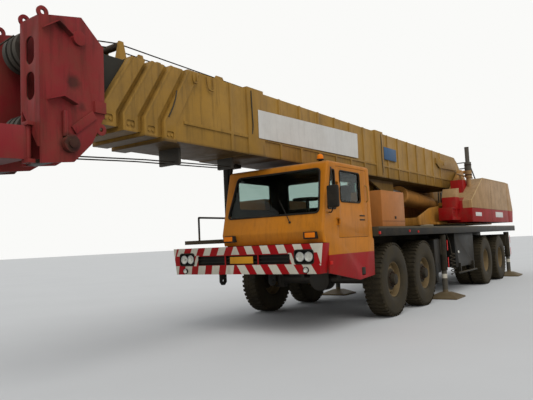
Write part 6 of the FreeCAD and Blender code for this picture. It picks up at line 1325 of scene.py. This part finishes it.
# The materials that each CAD node's finish takes: node, material, body, edge rounding in metres
FINISHES = (
    ("chassis_frame", CHASSIS, "carrier", 0.004), ("deck", DECK_PAINT, "carrier", 0.006),
    ("engine_hood", CABINET_PAINT, "carrier", 0.02), ("cabinet", CABINET_PAINT, "carrier", 0.012),
    ("slew_ring", STEEL, "carrier", 0.004), ("axles", STEEL, "carrier", 0.004),
    ("bumper", BUMPER_PAINT, "carrier", 0.012),
    ("cab_shell", CAB_PAINT, "carrier", 0.012), ("cab_glass", CLEAR_GLASS, "carrier", 0.0),
    ("cab_interior", DASHBOARD, "carrier", 0.02),
    ("cab_door", CAB_PAINT, "cab_door_body", 0.008), ("cab_door_glass", CLEAR_GLASS, "cab_door_body", 0.0),
    ("slewing_frame", YELLOW_PAINT, "platform", 0.006), ("counterweight", WEIGHT_PAINT, "platform", 0.02),
    ("housing", HOUSING_PAINT, "platform", 0.014), ("winches", STEEL, "platform", 0.004),
    ("operator_cab", OPERATOR_PAINT, "platform", 0.012), ("operator_glass", CLEAR_GLASS, "platform", 0.0),
    ("operator_door", OPERATOR_PAINT, "operator_door_body", 0.006),
    ("operator_door_glass", CLEAR_GLASS, "operator_door_body", 0.0),
    ("boom_base", OCHRE_PAINT, "boom", 0.004), ("section_2", OCHRE_PAINT, "boom_section_2", 0.006),
    ("section_3", OCHRE_PAINT, "boom_section_3", 0.006), ("section_4", OCHRE_PAINT, "boom_section_4", 0.006),
    ("section_5", INNER_BLACK, "boom_section_5", 0.004), ("boom_head", RED_PAINT, "boom_section_5", 0.005),
    ("head_sheaves", STEEL, "boom_section_5", 0.003), ("jib_stub", RED_PAINT, "boom_section_5", 0.006),
    ("lift_barrel", LIGHTENED_BARREL_PAINT, "lift_barrel_body", 0.006), ("lift_rod", CHROME, "lift_rod_body", 0.004),
)


def build_finishes():
    for node, material, body, width in FINISHES:
        refined(node, material, body, width)
    for end in ("front", "rear"):
        for side, way in (("left", 1), ("right", -1)):
            key = "%s_%s" % (end, side)
            refined("beam_" + key, CHASSIS, "outrigger_" + key, 0.005)
            refined("jack_" + key, JACK_PAINT, "jack_body_" + key, 0.005)
            build_reflector(key, way)
    for axle in STEERED_AXLES:
        for side in ("left", "right"):
            key = "%s_%s" % (axle, side)
            refined("knuckle_" + key, STEEL, "knuckle_body_" + key, 0.004)


bpy.context.scene.view_settings.view_transform = "Standard"
place_camera()
build_floor()
build_light()
build_finishes()
build_wheels()
build_bumper_lamps()
build_small_lamps()
build_beacon()
build_cab_trim()
build_wiper()
build_mirror()
build_cushions()
build_operator_trim()
build_boom_trim()
build_ropes()
build_rope_tie()
build_housing_trim()
build_winch_frame()
build_carrier_trim()
